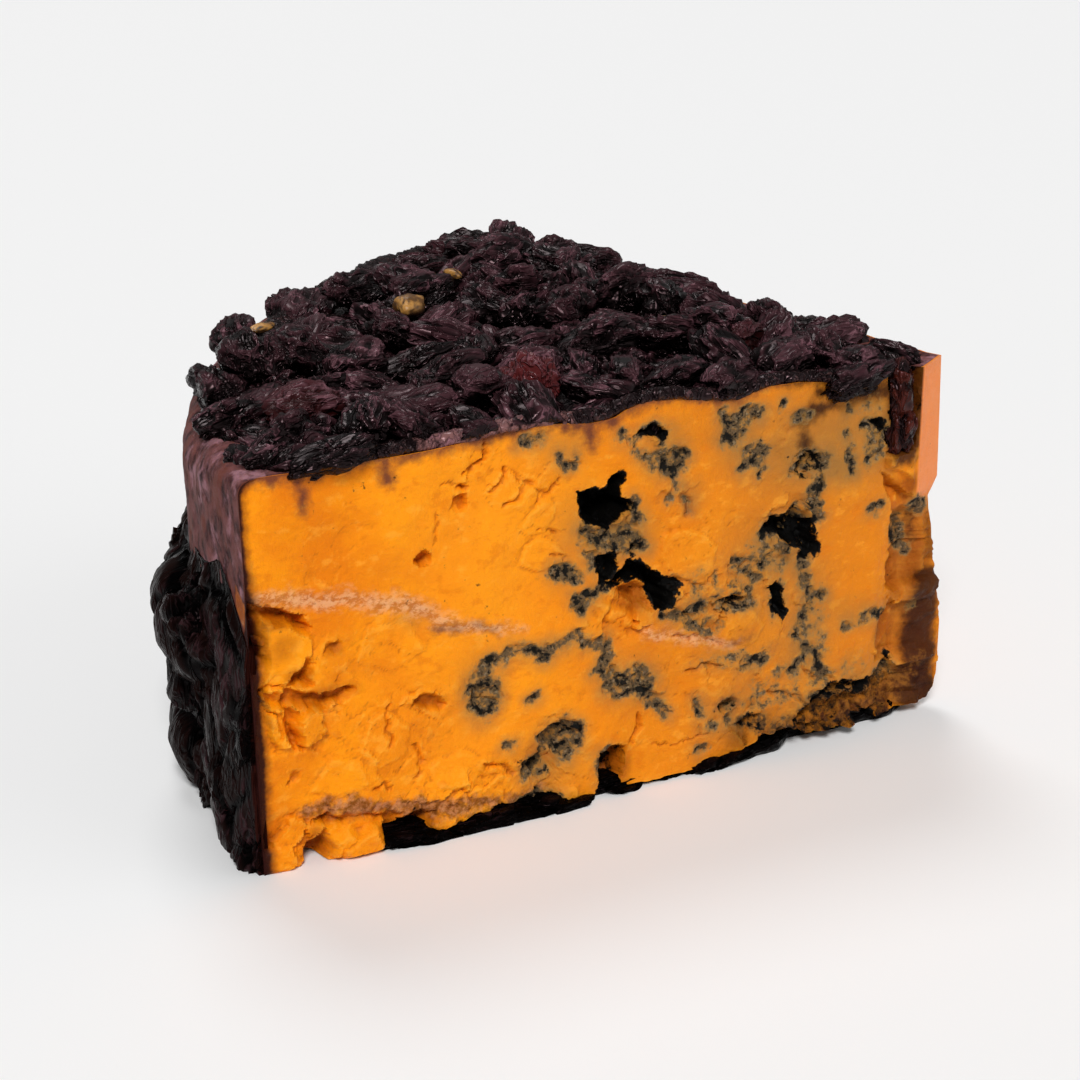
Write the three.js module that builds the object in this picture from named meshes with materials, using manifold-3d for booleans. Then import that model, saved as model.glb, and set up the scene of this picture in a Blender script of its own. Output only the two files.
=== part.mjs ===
// Blue cheese wedge coated with raisins: a quarter of a wheel of orange veined cheese.
// Millimetres, +Z up. The working axes start at the foot of the front left corner of the cut:
// X runs along the front cut face, Y away from it, and FRAME_SHIFT centres the finished wedge.
import * as THREE from 'three';
import { mergeVertices } from 'three/addons/utils/BufferGeometryUtils.js';
import Module from 'manifold-3d';

const wasm = await Module();
wasm.setup();

// Driving dimensions of the wheel and of the wedge cut from it
const PASTE_HEIGHT = 78;
const WHEEL_CENTRE = { x: 147, y: -6 };
const CORNER_RADIUS = 147.1;
const WALL_RADIUS = 149.3;
const CORNER_ANGLE = THREE.MathUtils.degToRad(2.34);
const WALL_SWELL_ANGLE = THREE.MathUtils.degToRad(18);
const TIP_FRONT = { x: 147.4, y: 0 };
const TIP_BACK = { x: 155.2, y: 5.1 };
const BACK_CUT_ANGLE = THREE.MathUtils.degToRad(74);
const WALL_LEAN = 2.3;
const FOOT_ROUNDING = 3.5;
const SHOULDER_AT_CORNER = 3;
const SHOULDER_RADIUS = 10;

// Fits between the cheese and the fruit pressed on to it
const CLEARANCE = 0.3;
const WELD = 1e-3;
const RECESS_DEPTH = 3.2;

// Fruit sizes and spacing
const TOP_PITCH = 12.4;
const SIDE_PITCH = 16.4;
const SIDE_ROWS = [{ z: 7, stand: 0.8 }, { z: 18, stand: 3 }, { z: 32, stand: 1.4 }, { z: 41, stand: 4 }];
const BASE_PITCH = 14;
const RAISIN_HALF_LENGTH = 6.4;
const BED_TOP = 80.2;
const RIM_MARGIN = 12;
const EDGE_MARGIN = 3.2;

// Middle of the finished wedge in plan, measured in the working axes
const FRAME_SHIFT = { x: 76, y: 68.4 };

// Hollows in the front cut face: centre, half width, half height, tilt in degrees, depth
const FRONT_HOLLOWS = [
  { name: 'great_hole', x: 74.2, z: 60.5, across: 5.2, up: 5.4, tilt: 20, depth: 7 },
  { name: 'great_hole_foot', x: 79.5, z: 46, across: 5.6, up: 2.8, tilt: -18, depth: 5 },
  { name: 'great_hole_tail', x: 86.2, z: 42, across: 2.6, up: 4, tilt: 25, depth: 5 },
  { name: 'cell_left', x: 36, z: 57, across: 1.8, up: 1.4, tilt: 20, depth: 2.2 },
  { name: 'cell_upper', x: 43.5, z: 67, across: 1.5, up: 1.6, tilt: 0, depth: 1.5 },
  { name: 'dimple', x: 17.5, z: 43, across: 3, up: 1.6, tilt: 0, depth: 1.2 },
  { name: 'seam_crevice', x: 6.5, z: 51, across: 6, up: 1.5, tilt: -24, depth: 3 },
  { name: 'flake_hollow', x: 2.6, z: 46.5, across: 1.9, up: 6, tilt: 0, depth: 3.4 },
  { name: 'flake_ledge', x: 13.5, z: 34, across: 7.6, up: 2.1, tilt: -2, depth: 2.6 },
  { name: 'flake_cleft', x: 8.4, z: 28.4, across: 1.7, up: 4.6, tilt: 20, depth: 2.4 },
  { name: 'crumb_hollow', x: 37, z: 28, across: 3.6, up: 1.7, tilt: -12, depth: 1.8 },
  { name: 'foot_cleft_left', x: 13.5, z: 4.5, across: 3.4, up: 4.2, tilt: 25, depth: 4.4 },
  { name: 'foot_cleft_mid', x: 32, z: 4.2, across: 3.8, up: 2.6, tilt: -10, depth: 4 },
  { name: 'vein_cave', x: 63.5, z: 12.4, across: 5.4, up: 5, tilt: 30, depth: 4 },
  { name: 'foot_cave', x: 76.5, z: 5.6, across: 3, up: 4.8, tilt: 0, depth: 5.5 },
  { name: 'ring_pit', x: 47.6, z: 26, across: 2.6, up: 3.2, tilt: 0, depth: 1.6 },
  { name: 'island_pit', x: 88.6, z: 67, across: 3.4, up: 2.4, tilt: -20, depth: 1.5 },
  { name: 'ring_cell', x: 120.5, z: 61.5, across: 3.6, up: 3, tilt: 0, depth: 2.6 },
  { name: 'slant_cave', x: 118.4, z: 47.4, across: 5.2, up: 3.6, tilt: -48, depth: 4.6 },
  { name: 'black_cell', x: 113.6, z: 35, across: 1.8, up: 3.4, tilt: 18, depth: 3.2 },
  { name: 'red_cell', x: 102.8, z: 14, across: 2.2, up: 1.3, tilt: 0, depth: 2 },
  { name: 'low_cell', x: 108.6, z: 8.6, across: 2.4, up: 1.6, tilt: 0, depth: 2 },
  { name: 'tip_foot_cave', x: 126, z: 8.6, across: 6, up: 2.6, tilt: -12, depth: 3.6 },
  { name: 'tip_shade', x: 144.6, z: 35, across: 3, up: 7, tilt: 4, depth: 3.2 },
  { name: 'tip_low_shade', x: 143.4, z: 19, across: 3, up: 5, tilt: 0, depth: 2.8 },
];

// Flakes and crags that stand proud of the front cut face
const FRONT_FLAKES = [
  { name: 'chunk', x: 8.2, z: 44.8, across: 4.6, up: 5.4, tilt: 20, depth: 1.7 },
  { name: 'curl', x: 5.2, z: 35, across: 2.3, up: 2.2, tilt: 0, depth: 1.6 },
  { name: 'sliver', x: 5.6, z: 29.6, across: 1.1, up: 4, tilt: 28, depth: 1.7 },
  { name: 'bright_flake', x: 12.2, z: 28.6, across: 3.2, up: 3.4, tilt: 0, depth: 1.8 },
  { name: 'foot_chunk', x: 21, z: 3.4, across: 5.4, up: 3.4, tilt: 0, depth: 2.8 },
  { name: 'ridge', x: 77, z: 38.4, across: 6.4, up: 2.2, tilt: -38, depth: 1.3 },
  { name: 'crest', x: 32, z: 29.6, across: 3.4, up: 1.4, tilt: 0, depth: 0.9 },
  { name: 'khaki_crumb', x: 119.6, z: 53, across: 2, up: 1.8, tilt: 0, depth: 1.3 },
  { name: 'tip_knob', x: 139.8, z: 60, across: 1.8, up: 2, tilt: 0, depth: 1.4 },
];

// The clump of large raisins at the left rim, and the flat ones at the tip: place and scale
const LARGE_RAISINS = [
  { x: 24, y: 62, z: 84.8, scale: 1.25, flat: 1.15 },
  { x: 33, y: 54, z: 84.4, scale: 1.35, flat: 1.15 },
  { x: 19, y: 47, z: 81.6, scale: 1.1, flat: 1 },
  { x: 147, y: 11, z: 78.7, scale: 1, flat: 0.5 },
  { x: 137, y: 8, z: 79, scale: 1.15, flat: 0.8 },
];

// Colour, roughness and metalness of each piece
const FINISHES = {
  paste: { color: 0xf0901e, roughness: 0.55, metalness: 0 },
  top_raisins: { color: 0x241519, roughness: 0.5, metalness: 0 },
  side_raisins: { color: 0x1c1216, roughness: 0.55, metalness: 0 },
  base_raisins: { color: 0x150d10, roughness: 0.6, metalness: 0 },
  tip_raisins: { color: 0x2a1712, roughness: 0.5, metalness: 0 },
};

// A repeatable number from 0 to 1 for each pair of whole numbers
function draw(index, channel) {
  const wave = Math.sin(index * 12.9898 + channel * 78.233) * 43758.5453;
  return wave - Math.floor(wave);
}

function ease(low, high, value) {
  const t = THREE.MathUtils.clamp((value - low) / (high - low), 0, 1);
  return t * t * (3 - 2 * t);
}

// Value of a profile at a height, from its [height, value] corners
function profile(corners, height) {
  let [lastHeight, lastValue] = corners[0];
  for (const [cornerHeight, cornerValue] of corners) {
    if (height <= cornerHeight) {
      const span = Math.max(cornerHeight - lastHeight, 1e-6);
      const share = THREE.MathUtils.clamp((height - lastHeight) / span, 0, 1);
      return THREE.MathUtils.lerp(lastValue, cornerValue, share);
    }
    [lastHeight, lastValue] = [cornerHeight, cornerValue];
  }
  return lastValue;
}

function wheelPoint(angle, radius) {
  return {
    x: WHEEL_CENTRE.x - radius * Math.cos(angle),
    y: WHEEL_CENTRE.y + radius * Math.sin(angle),
  };
}

// Where the back cut leaves the wheel: the far end of the line from the tip at BACK_CUT_ANGLE
function backCorner() {
  const dir = { x: -Math.cos(BACK_CUT_ANGLE), y: Math.sin(BACK_CUT_ANGLE) };
  const from = { x: TIP_BACK.x - WHEEL_CENTRE.x, y: TIP_BACK.y - WHEEL_CENTRE.y };
  const along = from.x * dir.x + from.y * dir.y;
  const reach = -along + Math.sqrt(along ** 2 - from.x ** 2 - from.y ** 2 + WALL_RADIUS ** 2);
  return { x: TIP_BACK.x + reach * dir.x, y: TIP_BACK.y + reach * dir.y, reach };
}

const BACK_CORNER = backCorner();
const BACK_CORNER_ANGLE = Math.atan2(
  BACK_CORNER.y - WHEEL_CENTRE.y,
  WHEEL_CENTRE.x - BACK_CORNER.x,
);

// Radius of the rind at an angle and height: swollen past the corner, leaning in at the foot
// and rolled over at the shoulder
function rindRadius(angle, z) {
  const swell = ease(CORNER_ANGLE, CORNER_ANGLE + WALL_SWELL_ANGLE, angle);
  const body = THREE.MathUtils.lerp(CORNER_RADIUS, WALL_RADIUS, swell);
  const lean = WALL_LEAN * (1 - z / PASTE_HEIGHT);
  const foot = swell * FOOT_ROUNDING * Math.max(0, 1 - z / 12) ** 2;
  const roll = THREE.MathUtils.lerp(SHOULDER_AT_CORNER, SHOULDER_RADIUS, swell);
  const above = THREE.MathUtils.clamp(z - (PASTE_HEIGHT - roll), 0, roll * 0.999);
  const shoulder = roll - Math.sqrt(roll ** 2 - above ** 2);
  return body - lean - foot - shoulder * 0.9;
}

// How far the broken tip corner stands out, along X and Y, at a height
function tipReach(z) {
  const back = profile(
    [[0, -2.5], [3, 1], [7, 3.6], [20, 3.8], [28, 1.6], [36, -0.1], [43, -0.8], [47.5, -2.4],
      [51, 0.4], [59, 0.3], [78, -0.3]], z);
  const front = profile(
    [[0, 3.5], [5, 4.5], [14, 4.5], [24, 3], [34, 3.6], [45, 3.4], [48.5, 0.4], [78, 0]], z);
  return { back, front };
}

// Gentle unevenness of a broken cheese face
function faceWave(along, z) {
  return 0.35 * Math.sin(along / 7.3 + z / 11) + 0.3 * Math.sin(along / 4.1 - z / 6.2 + 1.3);
}

// The plan columns of the cheese at one height, anticlockwise from the front left corner
function pasteRing(z, grow) {
  const ring = [];
  const left = WHEEL_CENTRE.x - rindRadius(CORNER_ANGLE, z) * Math.cos(CORNER_ANGLE);
  const tip = tipReach(z);
  const frontSteps = 20;
  for (let i = 0; i < frontSteps; i++) {
    const share = i / frontSteps;
    const x = THREE.MathUtils.lerp(left, TIP_FRONT.x, share);
    const edge = Math.min(1, share * 8);
    const broken = tip.front * ease(136, 147, x);
    ring.push({ x: i === 0 ? x - grow : x, y: faceWave(x, z) * edge + broken - grow });
  }
  ring.push({ x: TIP_FRONT.x + grow * 0.5, y: tip.front - grow });
  ring.push({
    x: (TIP_FRONT.x + TIP_BACK.x + tip.back) / 2 + grow * 0.7,
    y: (tip.front + TIP_BACK.y) / 2 - grow * 0.7,
  });
  const backSteps = 12;
  for (let i = 0; i < backSteps; i++) {
    const share = i / backSteps;
    const stand = (1 - ease(0, 0.12, share)) * tip.back;
    const wave = faceWave(share * BACK_CORNER.reach + 40, z) * Math.min(1, share * 8);
    const out = grow - wave + stand;
    ring.push({
      x: THREE.MathUtils.lerp(TIP_BACK.x, BACK_CORNER.x, share) + out * Math.sin(BACK_CUT_ANGLE),
      y: THREE.MathUtils.lerp(TIP_BACK.y, BACK_CORNER.y, share) + out * Math.cos(BACK_CUT_ANGLE),
    });
  }
  const arcSteps = 16;
  for (let i = 0; i < arcSteps; i++) {
    const angle = THREE.MathUtils.lerp(BACK_CORNER_ANGLE, CORNER_ANGLE, i / arcSteps);
    const point = wheelPoint(angle, rindRadius(angle, z) + grow);
    ring.push({ x: point.x, y: Math.max(point.y, 0) });
  }
  return ring;
}

// Joins closed rings of equal length, bottom to top, into one closed triangle mesh
function loft(rings) {
  const columns = rings[0].points.length;
  const positions = [];
  const faces = [];
  for (const { z, points } of rings) {
    for (const point of points) positions.push(point.x, point.y, point.z ?? z);
  }
  for (let row = 0; row + 1 < rings.length; row++) {
    for (let i = 0; i < columns; i++) {
      const a = row * columns + i;
      const b = row * columns + ((i + 1) % columns);
      faces.push(a, b, b + columns, a, b + columns, a + columns);
    }
  }
  const flat = (ring) => ring.points.map((point) => new THREE.Vector2(point.x, point.y));
  const top = (rings.length - 1) * columns;
  for (const [a, b, c] of THREE.ShapeUtils.triangulateShape(flat(rings[0]), [])) {
    faces.push(c, b, a);
  }
  for (const [a, b, c] of THREE.ShapeUtils.triangulateShape(flat(rings.at(-1)), [])) {
    faces.push(top + a, top + b, top + c);
  }
  const geometry = new THREE.BufferGeometry();
  geometry.setAttribute('position', new THREE.Float32BufferAttribute(positions, 3));
  geometry.setIndex(faces);
  return geometry;
}

function toSolid(geometry) {
  const bare = geometry.clone();
  bare.deleteAttribute('normal');
  bare.deleteAttribute('uv');
  const merged = mergeVertices(bare, WELD);
  return new wasm.Manifold(new wasm.Mesh({
    numProp: 3,
    vertProperties: new Float32Array(merged.attributes.position.array),
    triVerts: new Uint32Array(merged.index.array),
  }));
}

function toGeometry(solid) {
  const mesh = solid.getMesh();
  const geometry = new THREE.BufferGeometry();
  geometry.setAttribute('position', new THREE.Float32BufferAttribute(mesh.vertProperties, 3));
  geometry.setIndex(Array.from(mesh.triVerts));
  return geometry;
}

// The largest connected piece of a solid, without loose scraps, once its corners are welded
function largestPiece(solid) {
  const largest = (pieces) => pieces.reduce((a, b) => (a.volume() > b.volume() ? a : b));
  return largest(toSolid(toGeometry(largest(solid.decompose()))).decompose());
}

// An uneven low lump, half sizes in mm, turned by the given rotation and set at its place
function lump(place, half, rotation, seed, sides = 6, rings = 3, wobble = 0.13) {
  const geometry = new THREE.SphereGeometry(1, sides, rings);
  const shape = geometry.attributes.position;
  for (let i = 0; i < shape.count; i++) {
    const x = shape.getX(i);
    const y = shape.getY(i);
    const z = shape.getZ(i);
    const key = Math.round((x * 3 + y * 5 + z * 7) * 10) + seed * 31;
    const swell = 1 + wobble * (2 * draw(key, 3) - 1);
    shape.setXYZ(i, x * half.x * swell, y * half.y * swell, z * half.z * swell);
  }
  const matrix = new THREE.Matrix4().makeRotationFromEuler(rotation);
  matrix.setPosition(place.x, place.y, place.z);
  return toSolid(geometry.applyMatrix4(matrix));
}

// A flattened lump lying on the front cut face, used to hollow it out or to build it up
function faceLump(feature, grow, seed) {
  const half = {
    x: feature.across + grow,
    y: feature.depth + grow,
    z: feature.up + grow,
  };
  const tilt = new THREE.Euler(0, -THREE.MathUtils.degToRad(feature.tilt), 0);
  return lump({ x: feature.x, y: 0, z: feature.z }, half, tilt, seed, 7, 4, 0.18);
}

// Slab under the cheese that the base fruit fills: all of the foot but the front left corner
function footRecess(shrink) {
  const corners = [
    [28, -20], [175, -20], [175, 170], [-30, 170], [-30, 22], [26, 22],
  ];
  const shape = new THREE.Shape(corners.map(([x, y]) => new THREE.Vector2(x, y)));
  const geometry = new THREE.ExtrudeGeometry(shape, {
    depth: RECESS_DEPTH + 5 - shrink,
    bevelEnabled: false,
  });
  return toSolid(geometry.translate(0, 0, -5));
}

// Slot in the front face just left of the tip, where two raisins are wedged
function tipSlot(shrink) {
  const geometry = new THREE.BoxGeometry(7.6 - 2 * shrink, 13 - 2 * shrink, 20);
  return toSolid(geometry.translate(143.2, 0, 70.8 + shrink));
}

function pasteBody(grow) {
  const rings = [];
  const levels = [0, 3.2, 7, 13, 20, 28, 36, 43, 47.5, 51, 59, 68, 72, 75, 77.2, PASTE_HEIGHT];
  for (const z of levels) {
    const lift = z === PASTE_HEIGHT ? grow : 0;
    rings.push({ z: z + lift, points: pasteRing(z, grow) });
  }
  let body = toSolid(loft(rings));
  FRONT_FLAKES.forEach((flake, i) => {
    body = body.add(faceLump(flake, grow, i + 50));
  });
  if (grow === 0) {
    FRONT_HOLLOWS.forEach((hollow, i) => {
      body = body.subtract(faceLump(hollow, 0, i));
    });
  }
  return largestPiece(body.subtract(footRecess(grow)).subtract(tipSlot(grow)));
}

// Distance of a plan point inside each side of the wedge
function insideDistances(x, y) {
  const dx = x - WHEEL_CENTRE.x;
  const dy = y - WHEEL_CENTRE.y;
  const behind = (TIP_BACK.x - x) * Math.sin(BACK_CUT_ANGLE) - (y - TIP_BACK.y) * Math.cos(BACK_CUT_ANGLE);
  return { front: y, rim: WALL_RADIUS - Math.hypot(dx, dy), behind };
}

// One raisin: place, half sizes and turn, all drawn from its number
function raisin(index, x, y, z, scale, flat) {
  const length = RAISIN_HALF_LENGTH * (0.82 + 0.42 * draw(index, 11)) * scale;
  return {
    index,
    place: { x, y, z },
    half: {
      x: length,
      y: length * (0.66 + 0.24 * draw(index, 12)),
      z: length * (0.52 + 0.16 * draw(index, 13)) * flat,
    },
    yaw: Math.PI * draw(index, 14),
    roll: 0.9 * (draw(index, 15) - 0.5),
    pitch: 0.7 * (draw(index, 16) - 0.5),
  };
}

// How high the heap of top fruit stands over its bed: a crown towards the back, thin at the tip
function heapLift(x, y) {
  const crown = 2.4 * Math.exp(-(((x - 98) / 34) ** 2) - ((y - 80) / 28) ** 2);
  const tip = 2.4 * ease(112, 146, x);
  const front = 0.8 * (1 - ease(0, 12, y));
  return crown - tip - front;
}

// Fruit on the top: a jittered hexagonal carpet, then a looser second layer on the crown
function topFruit() {
  const fruit = [];
  const rows = Math.ceil((BACK_CORNER.y + 10) / (TOP_PITCH * 0.866));
  for (let row = 0; row < rows; row++) {
    for (let column = 0; column < 15; column++) {
      const index = row * 15 + column;
      const shift = row % 2 === 0 ? 0 : TOP_PITCH / 2;
      const x = 2 + column * TOP_PITCH + shift + 3.4 * (draw(index, 1) - 0.5);
      const y = 4 + row * TOP_PITCH * 0.866 + 3.4 * (draw(index, 2) - 0.5);
      const inside = insideDistances(x, y);
      const clear = inside.rim > RIM_MARGIN && inside.behind > EDGE_MARGIN && inside.front > EDGE_MARGIN;
      if (clear && x < 148) {
        fruit.push(raisin(index, x, y, BED_TOP + heapLift(x, y), 1, 1));
      }
    }
  }
  LARGE_RAISINS.forEach((large, i) => {
    fruit.push(raisin(480 + i, large.x, large.y, large.z, large.scale, large.flat));
  });
  for (let extra = 0; extra < 17; extra++) {
    const index = 500 + extra;
    const angle = extra * 2.4;
    const spread = 7.4 * Math.sqrt(extra);
    const x = 92 + spread * Math.cos(angle) * 1.25;
    const y = 82 + spread * Math.sin(angle) * 0.95;
    const inside = insideDistances(x, y);
    if (inside.rim > 20 && inside.behind > 10 && inside.front > 30) {
      fruit.push(raisin(index, x, y, BED_TOP + 3.6 + heapLift(x, y), 0.9, 0.95));
    }
  }
  return fruit;
}

function raisinSolid(fruit) {
  const turn = new THREE.Euler(fruit.roll, fruit.pitch, fruit.yaw);
  return lump(fruit.place, fruit.half, turn, fruit.index);
}

// A bevelled slab of pressed fruit that carries the raisins on the top
function topBed() {
  const ring = (z, inset) => {
    const points = [];
    const frontSteps = 8;
    for (let i = 0; i < frontSteps; i++) {
      const share = i / frontSteps;
      points.push({ x: THREE.MathUtils.lerp(inset + 2, 143 - inset, share), y: inset });
    }
    const backSteps = 6;
    for (let i = 0; i < backSteps; i++) {
      const share = i / backSteps;
      const out = -inset - 2;
      points.push({
        x: THREE.MathUtils.lerp(TIP_BACK.x - 6, BACK_CORNER.x, share * 0.9) + out * Math.sin(BACK_CUT_ANGLE),
        y: THREE.MathUtils.lerp(TIP_BACK.y + 4, BACK_CORNER.y, share * 0.9) + out * Math.cos(BACK_CUT_ANGLE),
      });
    }
    const arcSteps = 12;
    for (let i = 0; i <= arcSteps; i++) {
      const angle = THREE.MathUtils.lerp(BACK_CORNER_ANGLE * 0.95, CORNER_ANGLE * 2.4, i / arcSteps);
      points.push(wheelPoint(angle, WALL_RADIUS - inset - 4 - 5 * (1 - i / arcSteps)));
    }
    return { z, points };
  };
  return toSolid(loft([ring(PASTE_HEIGHT - 2, 1.5), ring(BED_TOP - 1.4, 1.5), ring(BED_TOP, 5)]));
}

// Height up to which the side fruit covers the rind: it slopes up from the cut corner
function sideCover(angle) {
  const degrees = THREE.MathUtils.radToDeg(angle);
  return 38 + 8 * ease(3, 14, degrees) + 2.5 * Math.sin(degrees / 5);
}

// Fruit on the rind: uneven rows of raisins lying lengthwise up the wall
function sideFruit() {
  const fruit = [];
  const span = (BACK_CORNER_ANGLE - CORNER_ANGLE) * WALL_RADIUS;
  const columns = Math.floor(span / SIDE_PITCH);
  for (let column = 0; column <= columns; column++) {
    for (let row = 0; row < 4; row++) {
      const index = 700 + column * 4 + row;
      const along = 4 + column * SIDE_PITCH + 4 * (draw(index, 1) - 0.5) + (row % 2) * SIDE_PITCH * 0.4;
      const angle = CORNER_ANGLE + along / WALL_RADIUS;
      const z = SIDE_ROWS[row].z + 4 * (draw(index, 2) - 0.5);
      if (z < sideCover(angle) + 1 && angle < BACK_CORNER_ANGLE - 0.02) {
        const radius = rindRadius(angle, z) + SIDE_ROWS[row].stand;
        const place = wheelPoint(angle, radius);
        fruit.push({ ...raisin(index, place.x, place.y, z, 1.16, 1), angle });
      }
    }
  }
  return fruit;
}

function sideRaisinSolid(fruit) {
  const stand = new THREE.Matrix4().makeRotationX(fruit.roll * 0.6 + Math.PI / 2);
  const turn = new THREE.Matrix4().makeRotationZ(-fruit.angle + Math.PI / 2);
  const euler = new THREE.Euler().setFromRotationMatrix(turn.multiply(stand));
  const half = { x: fruit.half.y, y: fruit.half.x * 1.15, z: fruit.half.z };
  return lump(fruit.place, half, euler, fruit.index, 5);
}

// A thin skin of pressed fruit on the rind that carries the side raisins
function sideBed() {
  const rings = [];
  const steps = 10;
  for (const [share, thick] of [[0, 1.6], [0.5, 2.4], [1, 1]]) {
    const points = [];
    for (let i = 0; i <= steps; i++) {
      const angle = THREE.MathUtils.lerp(BACK_CORNER_ANGLE - 0.01, CORNER_ANGLE + 0.012, i / steps);
      const z = share * (sideCover(angle) - 4);
      points.push({ ...wheelPoint(angle, rindRadius(angle, z) + thick), z });
    }
    for (let i = steps; i >= 0; i--) {
      const angle = THREE.MathUtils.lerp(BACK_CORNER_ANGLE - 0.01, CORNER_ANGLE + 0.012, i / steps);
      const z = share * (sideCover(angle) - 4);
      points.push({ ...wheelPoint(angle, CORNER_RADIUS - 14), z });
    }
    rings.push({ points });
  }
  return toSolid(loft(rings));
}

// Fruit pressed under the foot, showing along the front, the tip and the back cut
function baseFruit() {
  const fruit = [];
  const frontCount = Math.floor((118 - 32) / BASE_PITCH);
  for (let i = 0; i <= frontCount; i++) {
    const index = 900 + i;
    const x = 33 + i * BASE_PITCH + 3 * (draw(index, 1) - 0.5);
    const stand = x < 75 ? 3.4 : 0.6;
    fruit.push(raisin(index, x, 2.4 - stand + 1.6 * draw(index, 2), 1.7, 0.95, 0.8));
  }
  const backCount = Math.floor(BACK_CORNER.reach / BASE_PITCH) - 1;
  for (let i = 0; i <= backCount; i++) {
    const index = 950 + i;
    const along = (8 + i * BASE_PITCH + 3 * (draw(index, 1) - 0.5)) / BACK_CORNER.reach;
    const x = THREE.MathUtils.lerp(TIP_BACK.x, BACK_CORNER.x, along) - 2.5;
    const y = THREE.MathUtils.lerp(TIP_BACK.y, BACK_CORNER.y, along);
    fruit.push(raisin(index, x, y, 1.7, 0.95, 0.8));
  }
  return fruit;
}

function joined(solids) {
  return wasm.Manifold.union(solids);
}

// Everything above the table and behind the plane of the front cut, moved forward by its argument
function cutSpace(forward) {
  return toSolid(new THREE.BoxGeometry(400, 400, 200).translate(80, 200 - forward, 100));
}

function buildBase(pasteGrown, sideGrown) {
  const corners = [
    [29, 0], [116, 0.5], [121, 5], [146, 4.5], [152, 9], [118, 132], [70, 118], [34, 84], [16, 50],
    [8, 24], [26, 23],
  ];
  const shape = new THREE.Shape(corners.map(([x, y]) => new THREE.Vector2(x, y)));
  const slab = new THREE.ExtrudeGeometry(shape, { depth: RECESS_DEPTH, bevelEnabled: false });
  const bed = joined([toSolid(slab), ...baseFruit().map(raisinSolid)]);
  const trimmed = bed.intersect(cutSpace(8)).subtract(pasteGrown).subtract(sideGrown);
  return largestPiece(trimmed);
}

// Two raisins wedged one above the other in the slot at the tip
function tipPair(grow) {
  const half = (x, y, z) => ({ x: x + grow, y: y + grow, z: z + grow });
  return joined([
    lump({ x: 142.9, y: 2, z: 72.6 }, half(3.9, 5, 5.2), new THREE.Euler(0.2, 0, 0.2), 41),
    lump({ x: 143.2, y: 1.8, z: 66.4 }, half(4, 5.2, 6), new THREE.Euler(-0.1, 0.1, 0), 42),
  ]);
}

function makeMesh(name, solid) {
  const material = new THREE.MeshStandardMaterial(FINISHES[name]);
  const mesh = new THREE.Mesh(toGeometry(solid), material);
  mesh.name = name;
  mesh.position.set(-FRAME_SHIFT.x, -FRAME_SHIFT.y, 0);
  return mesh;
}

const wedge = new THREE.Group();
wedge.name = 'blue_cheese_wedge';

const paste = pasteBody(0);
const pasteGrown = pasteBody(CLEARANCE);

const side = largestPiece(
  joined([sideBed(), ...sideFruit().map(sideRaisinSolid)])
    .intersect(cutSpace(0.4))
    .subtract(pasteGrown),
);
const top = largestPiece(
  joined([topBed(), ...topFruit().map(raisinSolid)])
    .subtract(pasteGrown)
    .subtract(tipPair(CLEARANCE)),
);
const base = buildBase(pasteGrown, side);
const tip = largestPiece(tipPair(0).subtract(pasteGrown));

wedge.add(makeMesh('paste', paste));
wedge.add(makeMesh('top_raisins', top));
wedge.add(makeMesh('side_raisins', side));
wedge.add(makeMesh('base_raisins', base));
wedge.add(makeMesh('tip_raisins', tip));

export default wedge;
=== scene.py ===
# Blue cheese wedge: a quarter of a wheel of orange, blue-veined cheese with a wine-dark rind,
# coated with raisins. Sizes are in millimetres from the foot of the front left corner of the cut
# (X along the front cut face, Y away from it); MM and SHIFT bring them into the shared frame.
import math
import bpy
import numpy as np
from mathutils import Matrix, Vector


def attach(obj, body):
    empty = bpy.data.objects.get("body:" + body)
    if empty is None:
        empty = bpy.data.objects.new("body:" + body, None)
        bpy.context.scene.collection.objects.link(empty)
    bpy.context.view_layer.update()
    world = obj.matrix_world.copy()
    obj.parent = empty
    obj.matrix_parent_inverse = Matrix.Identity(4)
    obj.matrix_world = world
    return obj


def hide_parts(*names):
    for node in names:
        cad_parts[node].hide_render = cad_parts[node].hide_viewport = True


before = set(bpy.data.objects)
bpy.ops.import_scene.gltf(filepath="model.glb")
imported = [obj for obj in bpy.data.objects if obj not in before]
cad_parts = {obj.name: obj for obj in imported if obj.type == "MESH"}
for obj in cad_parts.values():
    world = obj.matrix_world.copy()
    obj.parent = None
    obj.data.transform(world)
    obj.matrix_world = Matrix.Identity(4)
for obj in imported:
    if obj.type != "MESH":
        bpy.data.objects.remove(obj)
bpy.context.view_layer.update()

# ---------------------------------------------------------------------------------------------
# The cheese. One broken, crumbly block: two cut faces, a blunt tip and the wheel's round rind.
# Its whole skin is one grid of columns round the wedge and rows up it, worked out as arrays.
# ---------------------------------------------------------------------------------------------
MM = 0.001
SHIFT = np.array([76.0, 68.4, 0.0])
PASTE_HEIGHT = 78.0
WHEEL = np.array([147.0, -6.0])
CORNER_RADIUS = 147.1
WALL_RADIUS = 149.3
CORNER_ANGLE = math.radians(2.34)
SWELL_ANGLE = math.radians(18)
TIP_FRONT_X = 147.4
TIP_BACK = np.array([155.2, 5.1])
BACK_CUT_ANGLE = math.radians(74)
WALL_LEAN = 2.3
FOOT_ROUNDING = 3.5
SHOULDER_AT_CORNER = 3.0
SHOULDER_RADIUS = 10.0
FRONT_COLUMNS = 300
FACET_COLUMNS = 18
BACK_COLUMNS = 84
ARC_COLUMNS = 104
ROWS = 168
# Height of the recess for the fruit under the back cut and the rind
RECESS_HEIGHT = 2.4
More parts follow.
